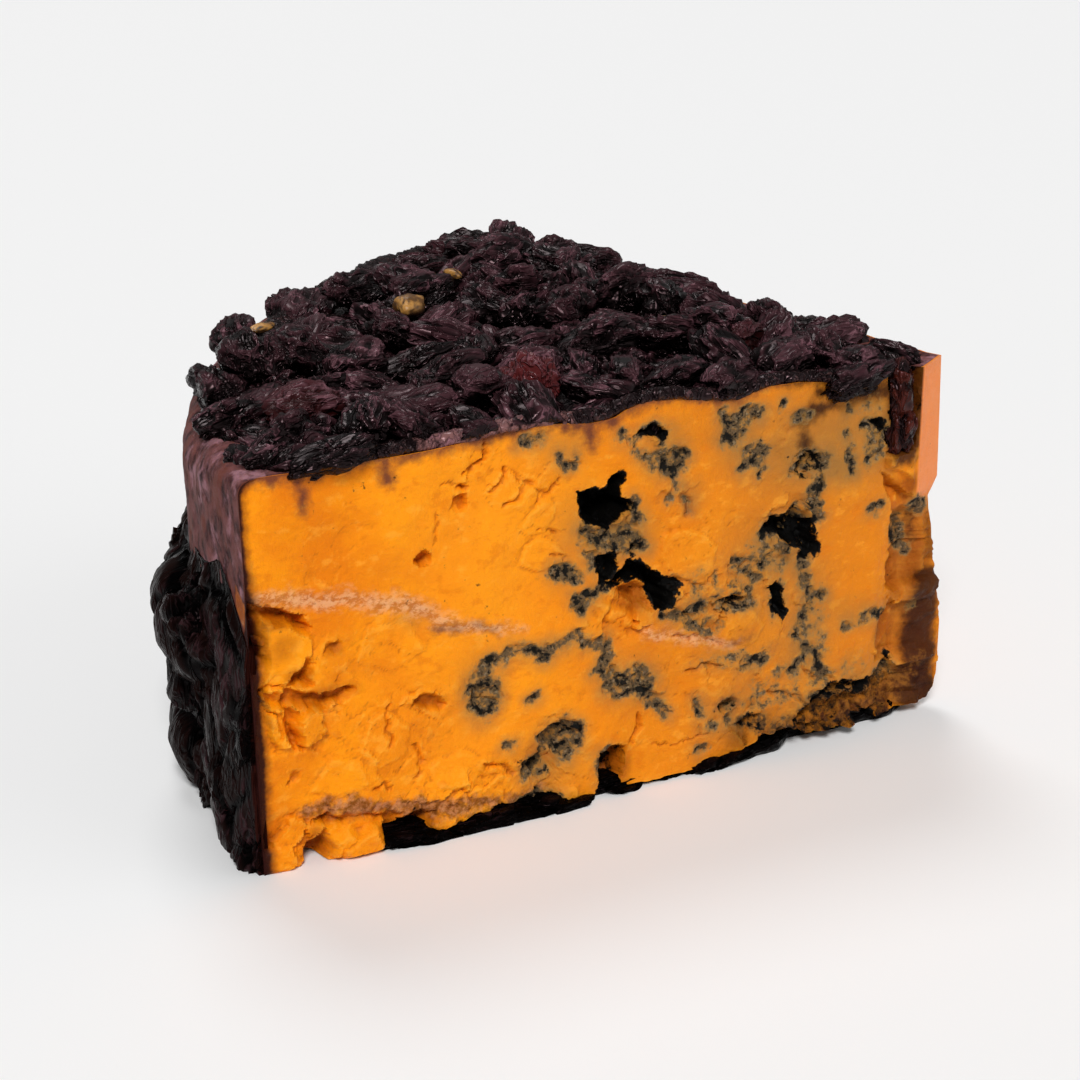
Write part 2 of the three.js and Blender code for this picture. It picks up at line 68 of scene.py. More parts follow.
# Rings of the top, from the edge inwards, as shares of the way out from its centre
CAP_SHARES = (0.993, 0.985, 0.975, 0.965, 0.95, 0.935, 0.92, 0.9, 0.87, 0.8, 0.6, 0.3)
CAP_CENTRE = np.array([95.0, 52.0, PASTE_HEIGHT])


def ease(low, high, value):
    """Smooth step: 3t^2 - 2t^3 of t, the share of the way from low to high, kept in 0 to 1."""
    t = np.clip((value - low) / (high - low), 0, 1)
    return t * t * (3 - 2 * t)


def lattice(cell, seed):
    """A repeatable number from 0 to 1 for each whole-number cell: integers mixed by shifts."""
    h = (cell[..., 0] * 374761393 + cell[..., 1] * 668265263 + cell[..., 2] * 1274126177
         + seed * 974634777).astype(np.uint32)
    h = (h ^ (h >> np.uint32(13))) * np.uint32(1274126177)
    h = (h ^ (h >> np.uint32(16))) * np.uint32(2246822519)
    return ((h >> np.uint32(8)) & np.uint32(0xFFFF)).astype(np.float64) / 65535


def noise(points, seed=0):
    """Value noise from 0 to 1: the eight lattice numbers round a point, blended by smooth steps."""
    cell = np.floor(points).astype(np.int64)
    f = points - cell
    f = f * f * (3 - 2 * f)
    total = 0
    for dx in (0, 1):
        for dy in (0, 1):
            for dz in (0, 1):
                weight = ((f[..., 0] if dx else 1 - f[..., 0])
                          * (f[..., 1] if dy else 1 - f[..., 1])
                          * (f[..., 2] if dz else 1 - f[..., 2]))
                total = total + weight * lattice(cell + np.array([dx, dy, dz]), seed)
    return total


def layered(points, layers, seed=0):
    """Sum of value noise, each layer twice as fine and half as strong, scaled back to 0 to 1."""
    total = 0
    for i in range(layers):
        total = total + noise(points * 2 ** i, seed + i) / 2 ** i
    return total / (2 - 2 ** (1 - layers))


def sheet(u, v):
    """Places on the flat sheet of noise at (u, v)."""
    return np.stack([u, v, 0 * u], -1)


def ridged(value):
    """Ridges along the middle of a noise: one minus twice its distance from one half."""
    return 1 - np.abs(2 * value - 1)


def rind_radius(angle, z):
    """Body radius less the lean of the wall, the rounding of its foot and the roll of its shoulder."""
    swell = ease(CORNER_ANGLE, CORNER_ANGLE + SWELL_ANGLE, angle)
    body = CORNER_RADIUS + (WALL_RADIUS - CORNER_RADIUS) * swell
    lean = WALL_LEAN * (1 - z / PASTE_HEIGHT)
    foot = swell * FOOT_ROUNDING * np.maximum(0, 1 - z / 12) ** 2
    roll = SHOULDER_AT_CORNER + (SHOULDER_RADIUS - SHOULDER_AT_CORNER) * swell
    above = np.clip(z - (PASTE_HEIGHT - roll), 0, roll * 0.999)
    return body - lean - foot - 0.9 * (roll - np.sqrt(roll ** 2 - above ** 2))


def on_wheel(angle, radius):
    """Point at an angle and radius about the wheel's centre, angle 0 towards -X."""
    return np.stack([WHEEL[0] - radius * np.cos(angle), WHEEL[1] + radius * np.sin(angle)], -1)


def tip_reach(z):
    """How far the broken tip corner stands out behind and in front, interpolated up its height."""
    back = np.interp(z, [0, 3, 7, 20, 28, 36, 43, 47.5, 51, 59, 78],
                     [-2.5, 1, 3.6, 3.8, 1.6, -0.1, -0.8, -2.4, 0.4, 0.3, -0.3])
    front = np.interp(z, [0, 5, 14, 24, 34, 45, 48.5, 78], [3.5, 4.5, 4.5, 3, 3.6, 3.4, 0.4, 0])
    return back, front


def face_wave(along, z):
    """Gentle unevenness of a broken face: two crossed sine waves."""
    return 0.35 * np.sin(along / 7.3 + z / 11) + 0.3 * np.sin(along / 4.1 - z / 6.2 + 1.3)


# Far end of the back cut, where its line from the tip meets the wheel's rim
BACK_DIRECTION = np.array([-math.cos(BACK_CUT_ANGLE), math.sin(BACK_CUT_ANGLE)])
BACK_OUTWARD = np.array([math.sin(BACK_CUT_ANGLE), math.cos(BACK_CUT_ANGLE)])
from_centre = TIP_BACK - WHEEL
along_cut = from_centre @ BACK_DIRECTION
BACK_REACH = -along_cut + math.sqrt(along_cut ** 2 - from_centre @ from_centre + WALL_RADIUS ** 2)
BACK_CORNER = TIP_BACK + BACK_REACH * BACK_DIRECTION
BACK_CORNER_ANGLE = math.atan2(BACK_CORNER[1] - WHEEL[1], WHEEL[0] - BACK_CORNER[0])

# Hollows broken out of the front face: outline (x, z), depth, width of the slope at its edge, and
# how black the inside is painted, partly for mould and partly as painted shade deep in the hollow
HOLLOWS = [
    ([(68.8, 64), (72, 64.4), (74.6, 64.2), (75.6, 66.8), (77.4, 67.2), (78.2, 65), (77.6, 62.4),
      (79.6, 60.6), (80.4, 59), (77.6, 58.4), (75, 56.2), (72.6, 57), (70.6, 58.4), (69.4, 61.4)], 9,
      1.0, 1),
    ([(69.4, 57), (74, 56), (80, 58.5), (82, 55), (81, 51.5), (76, 51.5), (72, 53), (69, 54.5)], 1.6,
      1.5, 0.1),
    ([(75.4, 44.4), (77.4, 46.6), (79.4, 48.8), (82.3, 48.4), (85.7, 45), (88.5, 41.5), (89, 37.8),
      (86, 38.3), (84, 42.8), (82, 44.6), (78, 44.2)], 6, 0.9, 1),
    ([(77.6, 43.8), (84.4, 43), (86, 37.8), (83.4, 37.4), (80.4, 39.6), (78, 41.6)], 2.6, 1.6, 0),
    ([(86, 43.6), (90.8, 43.8), (91, 41.4), (87, 41)], 2.4, 0.7, 0.9),
    ([(73.8, 51), (75.4, 51.2), (77.4, 48.8), (74.8, 45.2), (74, 46.6)], 3.4, 0.7, 1),
    ([(80, 51.8), (82.6, 52), (83.2, 50.2), (80.6, 49.8)], 1.8, 0.8, 0.6),
    ([(34.4, 56.6), (36.4, 58.8), (38, 57.4), (37.6, 55.8), (35.4, 55.6)], 3, 0.6, 0.15),
    ([(42, 66.2), (43, 68.4), (44.8, 67.8), (45.2, 66), (43.8, 65.2)], 1.8, 0.6, 0),
    ([(43, 70), (45.6, 70.4), (46.4, 69.2), (44.4, 68.8)], 1.2, 0.5, 0),
    ([(15, 42), (16, 44.4), (18.6, 44.8), (20, 43.6), (18.6, 42), (16.6, 41.4)], 1.4, 1.2, 0),
    ([(0.3, 55), (2, 54.6), (8, 52.2), (11.5, 50.2), (12.6, 47.4), (11, 47.4), (8.6, 49.6), (4, 50.8),
      (0.3, 52.2)], 3.4, 0.8, 0.1),
    ([(-0.4, 54), (3.4, 52), (3.6, 47), (4.4, 43), (2.6, 40.5), (0, 40)], 3, 1, 0.25),
    ([(8, 37.2), (12.5, 36.6), (13.4, 40.6), (11.5, 42.6), (9, 39.8)], 2.4, 0.8, 0),
    ([(2.6, 38.4), (9, 36.6), (14, 34.9), (20.5, 35.2), (21.8, 33.6), (18.4, 31), (13, 32.4), (8, 32.8),
      (3, 35)], 2.8, 1.1, 0),
    ([(7.4, 33), (9.4, 31.4), (10.6, 27.6), (11.4, 24.6), (9.2, 24.2), (7.6, 27.4), (6.8, 30.6)], 2.4,
      0.8, 0),
    ([(33.6, 29.6), (37, 30), (41, 27.4), (40.4, 26.2), (36, 26.8), (33.4, 28)], 2, 0.9, 0),
    ([(8.2, 20), (10.4, 19.6), (9.4, 17.6), (8, 16.6)], 1, 0.6, 0),
    ([(10.2, -1), (10.6, 3.2), (13, 5.8), (15.2, 6.8), (16.4, 3), (15.2, -1)], 4.5, 1.4, 0.05),
    ([(12, 8.6), (16, 9.4), (21, 8), (27, 7.6), (31, 6.4), (30, 3.4), (27.6, 1.6), (26.8, 5.6),
      (21, 7.4), (16, 6.4)], 2.2, 1.2, 0.1),
    ([(28, -1), (28.4, 4.4), (33, 6.4), (38, 5.4), (36, 2.6), (36, -1)], 3.6, 1.6, 0.35),
    ([(56.6, 10.6), (60.4, 12.2), (60.6, 15.2), (63.4, 18), (67, 18), (69.4, 15.4), (68, 11), (64, 8.6),
      (60, 7), (57.2, 7.8)], 3, 1.6, 0.25),
    ([(73.8, -1), (73.6, 5), (74.6, 10), (79.4, 10.4), (80, 7), (79, 3), (78, -1)], 5.5, 1.2, 0.35),
    ([(73.6, -1), (73.8, 5), (75, 9.6), (76.6, 9.6), (76.4, -1)], 1, 0.6, 1),
    ([(45.6, 27), (47.4, 29), (50, 28.4), (50.4, 25), (48, 23), (46.2, 24.6)], 1.4, 1, 0.3),
    ([(85, 70), (92, 70), (93.4, 66.8), (90.4, 63.4), (86.4, 65.2)], 0.8, 1, 0),
    ([(118, 60), (118.6, 63.6), (121, 64.4), (123.6, 63.4), (124, 60), (122, 58.8), (119.4, 58.8)], 2.2,
      1, 0.55),
    ([(111, 49.6), (113, 51.6), (116, 50.8), (117.4, 52.4), (120.4, 53.2), (122.6, 50.4), (122, 47),
      (124, 43.8), (122.4, 41.4), (119.4, 42.6), (118.6, 45.4), (116, 46), (114.4, 48)], 4.2, 1.3, 0.8),
    ([(111.8, 37.6), (113.2, 38.4), (115, 36), (116.2, 31.4), (115.6, 30.4), (113.8, 32.6),
      (112.8, 35.6)], 3.2, 0.7, 1),
    ([(100.8, 14.2), (102.2, 15.4), (104.6, 14.8), (105, 13.2), (103, 12.4), (101.2, 12.8)], 2, 0.7,
      0.5),
    ([(101.4, 35.6), (104, 37), (106.8, 35.4), (106.2, 34.2), (103.6, 35.4), (101.6, 34.4)], 2, 0.6,
      0.42),
    ([(106.6, 8), (108, 10.4), (111, 9.6), (110.6, 7.2), (108, 6.8)], 2, 0.9, 0.5),
    ([(119, 2), (119.6, 8), (124, 12), (130, 10.8), (137, 10.2), (143, 13.6), (148, 13), (148, 2)], 2.4,
      2.4, 0.2),
    ([(133.6, 0), (134.6, 3.4), (140, 4), (141.4, 0)], 4, 1, 0.9),
    ([(118.6, 6.4), (122, 10.4), (127, 13.8), (133, 12.8), (139, 12.2), (145, 14.6), (145.4, 12.2),
      (139, 10), (133, 10.6), (127, 11), (123.4, 8), (120, 5.6)], 2.4, 0.8, 0.72),
    ([(141.4, 31), (141.6, 40), (140.2, 50), (138.2, 57), (149, 48), (149, 30), (146, 29)], 2.6, 0.8,
      0),
    ([(139.6, 15.5), (139.4, 24.6), (143, 27), (149, 26), (149, 14), (143, 14.4)], 2.4, 1.4, 0.2),
    ([(139.6, 61), (139.4, 79), (146.6, 79), (146.6, 61)], 6.6, 0.7, 0.3),
    ([(81.4, 74.2), (84.6, 75.2), (87.6, 73.2), (87, 72), (84.4, 73.8)], 1.6, 0.5, 0.9),
    ([(134.6, 68.8), (137.2, 68), (138.4, 65.4), (137.2, 65.6), (136, 67)], 1.4, 0.5, 0.9),
]

# Flakes and crags that stand proud of the front face: outline (x, z), height, width of the edge
FLAKES = [
    ([(3.6, 51), (7, 50.6), (13.2, 46.4), (13, 42.8), (9.4, 39), (8, 37.6), (3.4, 38.6), (4.6, 42.6),
      (4, 47)], 2.0, 0.4),
    ([(2.5, 36.4), (4.6, 38.2), (7.6, 36.8), (7.4, 34), (5.8, 32.4), (4, 33.4)], 1.9, 0.35),
    ([(3.5, 33), (5.4, 32.6), (6, 29.6), (8.4, 26.6), (8, 25.4), (5.6, 25.6), (4, 29)], 2.1, 0.35),
    ([(8.4, 29.8), (10.6, 31.2), (12.6, 32.8), (14.6, 31.4), (14.2, 29.6), (15.6, 28), (14.4, 25.6),
      (13, 24.8), (10.4, 24.8), (9.6, 27)], 2.2, 0.35),
    ([(15.6, 0), (15.8, 5), (19, 6.6), (21, 5.4), (25.4, 6.4), (27.2, 3), (26.6, 0)], 2.2, 1.2),
    ([(2.2, 0), (2.2, 4.6), (6, 5.6), (9.4, 4.6), (10, 0)], 0.8, 0.8),
    ([(34, 2.4), (37, 5.4), (42, 4.6), (42, 2), (38, 1)], 1.8, 0.9),
    ([(71.4, 41.6), (74.6, 42), (78, 39.6), (81.4, 37.6), (83.4, 33.4), (80.6, 33.8), (77.4, 35.6),
      (73.4, 38)], 1.2, 1.2),
    ([(29.8, 29), (32, 31), (35.4, 30.2), (33, 28)], 0.9, 0.7),
    ([(64, 0.6), (65, 4), (68.6, 4.2), (69.4, 1)], 1.2, 0.8),
    ([(118.4, 53.4), (120, 54), (121.4, 52.6), (121.8, 50.4), (120.6, 49), (119.2, 49.8),
      (118.6, 51.4)], 4.4, 0.6),
    ([(113.4, 46), (114.6, 47), (116.2, 46), (115.8, 44.4), (114, 44)], 3.4, 0.6),
    ([(116.2, 48.6), (117.2, 49), (117.8, 47.8), (116.8, 47.2)], 3, 0.5),
    ([(79.4, 57.6), (80.6, 58.4), (81.6, 57.2), (80.8, 56), (79.6, 56.2)], 1.6, 0.5),
    ([(80.8, 52.4), (82.2, 53), (83.2, 51.6), (82, 50.6)], 1.4, 0.5),
    ([(84.2, 73.2), (85.6, 73.6), (86.4, 72.4), (85, 71.8)], 1.6, 0.4),
    ([(106.8, 74.6), (108, 74.8), (108.4, 73.4), (107.2, 73)], 1, 0.4),
    ([(119.4, 61), (120.4, 62), (121.8, 61.2), (121.2, 59.6), (119.8, 59.8)], 1.6, 0.6),
    ([(138.6, 60.6), (139.8, 62), (141.6, 60.4), (140.6, 58), (138.8, 58.4)], 1.4, 0.8),
    ([(139, 61), (148.6, 61), (148.6, 50.4), (143.6, 56), (138.6, 58.2)], 1.2, 0.5),
    ([(144, 12.4), (148, 13.4), (149, 11.6), (146, 10.8)], 1.6, 0.5),
    ([(87, 53), (91, 53.6), (96, 52), (99.5, 48.6), (98.6, 43.6), (94, 42), (89, 44), (86.6, 48.6)],
      0.8, 0.5),
    ([(60, 64.5), (63, 64.2), (64.4, 62), (62, 58), (58, 57.6), (56, 60)], 0.6, 0.4),
    ([(60, 57), (64, 55.6), (66.4, 52.6), (65, 50.4), (60, 50), (56, 52), (57, 56)], 0.7, 0.5),
    ([(99, 42), (104, 41.4), (106, 37.6), (102, 36.4), (97, 38.6)], 0.9, 0.6),
    ([(101, 33), (108, 34), (111, 30), (108, 26), (101, 27)], 0.7, 0.6),
    ([(24, 46), (33, 45), (36, 39), (30, 36), (22, 39)], 0.5, 0.5),
    ([(24, 27), (28, 28.6), (33, 24), (32, 18), (26, 17), (22, 21)], 0.8, 0.5),
    ([(16, 21), (22, 20), (24, 14), (18, 12.6), (12, 15)], 0.7, 0.5),
    ([(36, 15), (44, 16.6), (50, 13), (46, 9), (38, 9.6)], 0.8, 0.6),
    ([(138, 18.2), (139.4, 18.6), (140.6, 17.4), (139, 17)], 1, 0.5),
]

# Narrow cracks and stepped edges: path (x, z), half width, depth
CRACKS = [
    ([(49.5, 78), (49, 73.6), (44.6, 72.2)], 0.4, 1.1),
    ([(53.4, 71.4), (52.4, 69), (50.6, 68)], 0.5, 0.9),
    ([(59, 68), (56.4, 67.4), (56, 65.4), (53, 64.6)], 0.5, 0.9),
    ([(64.4, 67.2), (63.2, 65.4), (60.6, 65.6), (59.6, 64.2)], 0.4, 0.8),
    ([(60.4, 58.2), (64, 57.4)], 0.35, 0.7),
    ([(62.6, 53.4), (66, 52.2)], 0.35, 0.6),
    ([(38.5, 65.4), (38.8, 60.4)], 0.35, 0.5),
    ([(40, 71), (44, 70.4), (46, 69.2)], 0.3, 0.5),
    ([(28.2, 28.4), (27.6, 24.6), (28.4, 21)], 0.5, 0.8),
    ([(34, 19.4), (35.4, 16), (34.4, 13)], 0.5, 0.8),
    ([(25, 12.4), (27, 13), (28.6, 11.4)], 0.4, 0.9),
    ([(82.5, 15.4), (83, 12.6), (81.4, 10.4)], 0.45, 1.2),
    ([(94, 22.6), (97, 23.6), (100.6, 22.6)], 0.4, 1),
    ([(92, 60.4), (93.4, 58), (92.4, 55.6)], 0.7, 0.8),
    ([(88.6, 45.6), (93, 41.6), (97, 41), (100, 43.4)], 0.4, 0.6),
    ([(90.4, 31), (96, 29.6), (101, 27.4)], 0.5, 0.8),
    ([(120, 18.6), (123.4, 15.4), (128, 14.4)], 0.45, 0.8),
    ([(113, 14), (118, 13), (121, 11)], 0.5, 0.9),
    ([(86, 9), (91, 7.2), (99, 8.6)], 0.3, 0.5),
    ([(48.4, 12.6), (52.6, 11.4), (55, 8.8)], 0.5, 1),
    ([(101, 36.4), (104, 37), (106.4, 35)], 0.6, 1.2),
    ([(81.6, 74), (84.6, 75.2), (87.2, 73)], 0.5, 1),
]

# Crumbly patches of the front face: centre x and z, half width, half height, strength
CRUMBLY = [
    (10, 33, 14, 12, 0.5), (16, 5, 22, 8, 0.8), (50, 6, 24, 7, 0.8), (57, 68, 9, 6, 0.5),
    (79, 38, 9, 7, 1), (100, 37, 15, 9, 0.9), (117, 50, 9, 7, 0.8), (96, 20, 22, 9, 0.35),
    (134, 8, 20, 8, 1), (145, 35, 5, 14, 0.7), (34, 27, 9, 6, 0.45), (90, 58, 7, 9, 0.4),
    (65, 14, 9, 7, 0.6), (108, 8, 14, 7, 0.7), (48, 73, 7, 5, 0.4), (30, 22, 17, 13, 0.3),
    (22, 40, 16, 9, 0.2), (96, 52, 11, 8, 0.35), (60, 60, 8, 8, 0.3), (120, 28, 8, 14, 0.3),
    (112, 66, 12, 9, 0.3), (76, 54, 8, 7, 0.7), (48, 28, 5, 7, 0.5), (80, 24, 7, 5, 0.5),
    (20, 62, 14, 10, 0.15),
]


def path_distance(x, z, path):
    """Least distance to a path's segments, less the radius, where the path has one, which runs
    evenly between its points."""
    nearest = np.full(np.shape(x), 1e3)
    for i in range(max(len(path) - 1, 1)):
        a = path[i]
        b = path[min(i + 1, len(path) - 1)]
        dx, dz = b[0] - a[0], b[1] - a[1]
        t = np.clip(((x - a[0]) * dx + (z - a[1]) * dz) / max(dx * dx + dz * dz, 1e-9), 0, 1)
        reach = 0 if len(a) < 3 else a[2] + (b[2] - a[2]) * t
        nearest = np.minimum(nearest, np.hypot(x - a[0] - t * dx, z - a[1] - t * dz) - reach)
    return nearest


def inside_outline(x, z, outline):
    """Distance inside a closed outline, negative outside: nearest edge, signed by crossings."""
    nearest = np.full(np.shape(x), 1e3)
    inside = np.zeros(np.shape(x), bool)
    for i, a in enumerate(outline):
        b = outline[(i + 1) % len(outline)]
        dx, dz = b[0] - a[0], b[1] - a[1]
        t = np.clip(((x - a[0]) * dx + (z - a[1]) * dz) / (dx * dx + dz * dz), 0, 1)
        nearest = np.minimum(nearest, np.hypot(x - a[0] - t * dx, z - a[1] - t * dz))
        if dz:
            crosses = ((a[1] > z) != (b[1] > z)) & (x < a[0] + dx * (z - a[1]) / dz)
            inside ^= crosses
    return np.where(inside, nearest, -nearest)


def ragged(x, z, reach, size, seed):
    """Shifts each point by layered noise, so that smooth outlines come out ragged."""
    p = sheet(x / size, z / size)
    return (x + reach * (2 * layered(p, 3, seed) - 1), z + reach * (2 * layered(p, 3, seed + 9) - 1))


def chunks(x, z, size, seed):
    """Cells round jittered lattice points: each point's own number, and how far it lies from the
    border of its cell, which is the second nearest lattice point's distance less the nearest's."""
    u, v = x / size, z / size
    base_u, base_v = np.floor(u).astype(np.int64), np.floor(v).astype(np.int64)
    nearest, second, value = np.full(x.shape, 9.0), np.full(x.shape, 9.0), np.zeros(x.shape)
    for du in (-1, 0, 1):
        for dv in (-1, 0, 1):
            cell = np.stack([base_u + du, base_v + dv, np.full(x.shape, seed)], -1)
            away = np.hypot(cell[..., 0] + lattice(cell, 1) - u, cell[..., 1] + lattice(cell, 2) - v)
            closer = away < nearest
            second = np.where(closer, nearest, np.minimum(second, away))
            value = np.where(closer, lattice(cell, 3), value)
            nearest = np.where(closer, away, nearest)
    return value, (second - nearest) * size


def crumble(x, z, seed):
    """Broken face of crumbly cheese: big and small chunks at different depths, ragged borders."""
    wx, wz = ragged(x, z, 2.4, 6, seed)
    wx, wz = ragged(wx, wz, 0.7, 1.5, seed + 3)
    big, big_border = chunks(wx, wz * 1.25, 6.4, seed + 5)
    small, small_border = chunks(wx, wz * 1.2, 2.3, seed + 6)
    depth = 1.7 * (big - 0.5) + 0.7 * (small - 0.5) * ease(0.3, 0.8, big)
    depth = depth + 0.35 * (1 - ease(0, 0.5, big_border)) + 0.12 * (1 - ease(0, 0.3, small_border))
    fine = layered(sheet(x / 1.1, z / 1.1), 3, seed + 20)
    return depth + 0.45 * (fine - 0.5)


def torn_place(x, z):
    """Shifts points twice, widely and finely, for the torn borders of the hollows."""
    wx, wz = ragged(x, z, 0.9, 3.2, 3)
    return ragged(wx, wz, 0.65, 1.2, 6)


def flake_place(x, z):
    """Shifts points a little, for the crisp but uneven borders of the flakes."""
    return ragged(x, z, 0.35, 1.6, 5)


def front_relief(x, z):
    """Depth of the front face behind its plane: wave, hollows, cracks and crumbs less the flakes."""
    wx, wz = torn_place(x, z)
    fx, fz = flake_place(x, z)
    depth = face_wave(x, z)
    swell = layered(sheet(x / 7, z / 5), 2, 25)
    depth = depth + 0.7 * (swell - 0.5)
    patch = np.full(x.shape, 0.06)
    for cx, cz, across, up, strength in CRUMBLY:
        away = np.hypot((x - cx) / across, (z - cz) / up) + 0.5 * (swell - 0.5)
        patch = np.maximum(patch, strength * (1 - ease(0.55, 1.1, away)))
    depth = depth + patch * crumble(x, z, 31)
    pitted = layered(sheet(x / 0.8, z / 0.8), 2, 27)
    depth = depth + 1.5 * (pitted - 0.15) * ease(0.35, 0.85, mould_share(x, z))
    rough = 0.75 + 0.5 * layered(sheet(x / 2.2, z / 2.2), 2, 44)
    for outline, deep, slope, _ in HOLLOWS:
        depth = depth + deep * rough * ease(-0.3, slope, inside_outline(wx, wz, outline))
    for path, half, deep in CRACKS:
        depth = depth + deep * (1 - ease(0, 1, path_distance(wx, wz, path) / half * 0.6))
    for outline, high, edge in FLAKES:
        inside = inside_outline(fx, fz, outline)
        depth = depth - high * ease(-0.1, edge, inside) * (0.8 + 0.4 * (z - outline[0][1]) / 12)
    grain = layered(sheet(x / 0.9, z / 0.9), 2, 71)
    return depth + 0.1 * (grain - 0.5)


def foot_height(x):
    """Height of the cheese's ragged lower edge along the front, where pressed fruit lies under it."""
    return np.interp(x, [0, 10, 10.6, 13, 15, 26.5, 28, 31, 36, 42, 46, 50, 51.5, 54, 57, 63, 65, 69, 72,
                         95, 100, 106, 110, 113, 119, 122, 134, 141, 148],
                     [0, 0.2, 1.2, 0.4, 0, 0.2, 1.6, 2.6, 2, 2.2, 3.2, 2.4, 0.8, 1.8, 2.6, 3, 0.6, 0.6, 1.3,
                      1.2, 1.8, 3, 4.6, 6, 5.2, 2.8, 2.4, 2, 2.4])


def hem(x):
    """Height of the cheese's wavy upper edge along the front, where fruit is pressed down over it."""
    return np.interp(x, [30, 40, 46, 52, 60, 66, 70, 75, 77.5, 81, 85, 90, 95, 100, 104, 110, 117, 124,
                         130],
                     [78, 78.3, 78.5, 78.9, 79.3, 78.5, 78, 78.3, 79.4, 80.2, 80.5, 80.1, 79, 78.3, 78,
                      79.4, 79.3, 78.2, 78])


def paste_grid():
    """Rows up and columns round the wedge: front relief, tip facet, back cut, then the rind."""
    share = np.linspace(0, 1, ROWS)[:, None]
    run = (np.arange(FRONT_COLUMNS) / FRONT_COLUMNS)[None, :]
    foot = foot_height(run * TIP_FRONT_X)
    ragged_foot = foot * (0.7 + 0.6 * layered(sheet(run * 60, run * 0), 3, 8))
    z = ragged_foot + (hem(run * TIP_FRONT_X) - ragged_foot) * share
    left = WHEEL[0] - rind_radius(CORNER_ANGLE, z) * math.cos(CORNER_ANGLE)
    x = left + (TIP_FRONT_X - left) * run
    uneven = 5 * (layered(sheet(x / 5, z / 6), 3, 13) - 0.5)
    front = tip_reach(z + uneven)[1]
    whole = ease(-0.4, 1.6, x - left) * (1 - ease(145.4, 146.8, x) * ease(46, 52, z))
    y = front_relief(x, z) * whole + front * ease(136, 147, x)
    front_face = np.stack([x, y, z], -1)

    z = RECESS_HEIGHT + (PASTE_HEIGHT - RECESS_HEIGHT) * share
    back = tip_reach(z + 4 * (layered(sheet(0 * z, z / 5), 2, 14) - 0.5))[0]
    corner = TIP_BACK + back[..., None] * BACK_OUTWARD
    start = front_face[:, -1:, :2] + np.array([0.49, 0])
    run = (np.arange(FACET_COLUMNS) / FACET_COLUMNS)[None, :, None]
    flat = start + (corner - start) * run
    zz = z * np.ones((1, FACET_COLUMNS))
    broken = 1 - ease(46, 50, zz)
    bulge = np.sin(math.pi * run[..., 0]) * broken * 1.4
    rough = layered(np.concatenate([flat / 2.6, zz[..., None] / 2.6], -1), 4, 12) - 0.5
    lumps = bulge + rough * (0.1 + 3.2 * broken) * ease(0, 0.15, run[..., 0])
    facet = np.concatenate([flat + lumps[..., None] * np.array([0.6, -0.8]), zz[..., None]], -1)

    run = (np.arange(BACK_COLUMNS) / BACK_COLUMNS)[None, :]
    along = run * BACK_REACH + 0 * z
    zz = z + 0 * run
    stand = (1 - ease(0, 0.12, run)) * back
    hidden = face_wave(along + 40, zz) + 0.7 * crumble(along * 1.1 + 300, zz * 1.1, 57)
    hidden = hidden + 2.4 * ease(0.64, 0.8, layered(sheet(along / 11, zz / 6), 4, 61))
    out = stand - hidden * ease(0, 0.06, run) * ease(0, 0.06, 1 - run)
    line = TIP_BACK + BACK_DIRECTION * along[..., None]
    back_face = np.concatenate([line + out[..., None] * BACK_OUTWARD, zz[..., None]], -1)

    run = np.ones_like(share) * (np.arange(ARC_COLUMNS) / ARC_COLUMNS)[None, :]
    angle = BACK_CORNER_ANGLE + (CORNER_ANGLE - BACK_CORNER_ANGLE) * run
    ends = ease(0, 0.05, run) * ease(0, 0.05, 1 - run)
    lowest = RECESS_HEIGHT * ease(0.0, 0.1, 1 - run)
    zz = lowest + (PASTE_HEIGHT - lowest) * share
    dents = layered(sheet(angle * 26, zz / 6), 3, 15) - 0.5
    streaks = layered(sheet(angle * 90, zz / 14), 2, 18) - 0.5
    plan = on_wheel(angle, rind_radius(angle, zz) + ends * (1.1 * dents + 0.5 * streaks))
    rind = np.concatenate([plan, zz[..., None]], -1)
    walls = np.concatenate([front_face, facet, back_face, rind], 1)
    lid = []
    for outward_share in CAP_SHARES:
        ring = CAP_CENTRE + (walls[-1] - CAP_CENTRE) * outward_share
        lumps = layered(ring / 2.6, 3, 19) - 0.5
        lip = (walls[-1][:, 2] - PASTE_HEIGHT) * ease(0.9, 1, outward_share)
        ring[:, 2] = PASTE_HEIGHT + lip + 0.9 * lumps * ease(1, 0.96, outward_share)
        lid.append(ring)
    return np.concatenate([walls, np.stack(lid)])


def closed_tube(grid):
    """Joins each row of a grid to the next all the way round; the open ends get one face each."""
    rows, width = grid.shape[:2]
    index = np.arange(rows * width).reshape(rows, width)
    here = index[:-1]
    side = np.roll(here, -1, 1)
    faces = np.stack([here, side, side + width, here + width], -1).reshape(-1, 4).tolist()
    faces.append(index[0, ::-1].tolist())
    faces.append(index[-1].tolist())
    return grid.reshape(-1, 3), faces


def add_piece(name, points, faces, attributes=None, sharp=35):
    """Puts millimetre points and faces into a new mesh object in the shared frame, smooth shaded."""
    mesh = bpy.data.meshes.new(name)
    mesh.from_pydata(((points - SHIFT) * MM).tolist(), [], faces)
    for key, values in (attributes or {}).items():
        is_vector = np.size(values) == 3 * len(points)
        layer = mesh.attributes.new(key, "FLOAT_VECTOR" if is_vector else "FLOAT", "POINT")
        flat = np.ascontiguousarray(values, dtype=np.float32).ravel()
        layer.data.foreach_set("vector" if is_vector else "value", flat)
    mesh.shade_smooth()
    mesh.set_sharp_from_angle(angle=math.radians(sharp))
    mesh.update()
    piece = bpy.data.objects.new(name, mesh)
    bpy.context.scene.collection.objects.link(piece)
    return piece


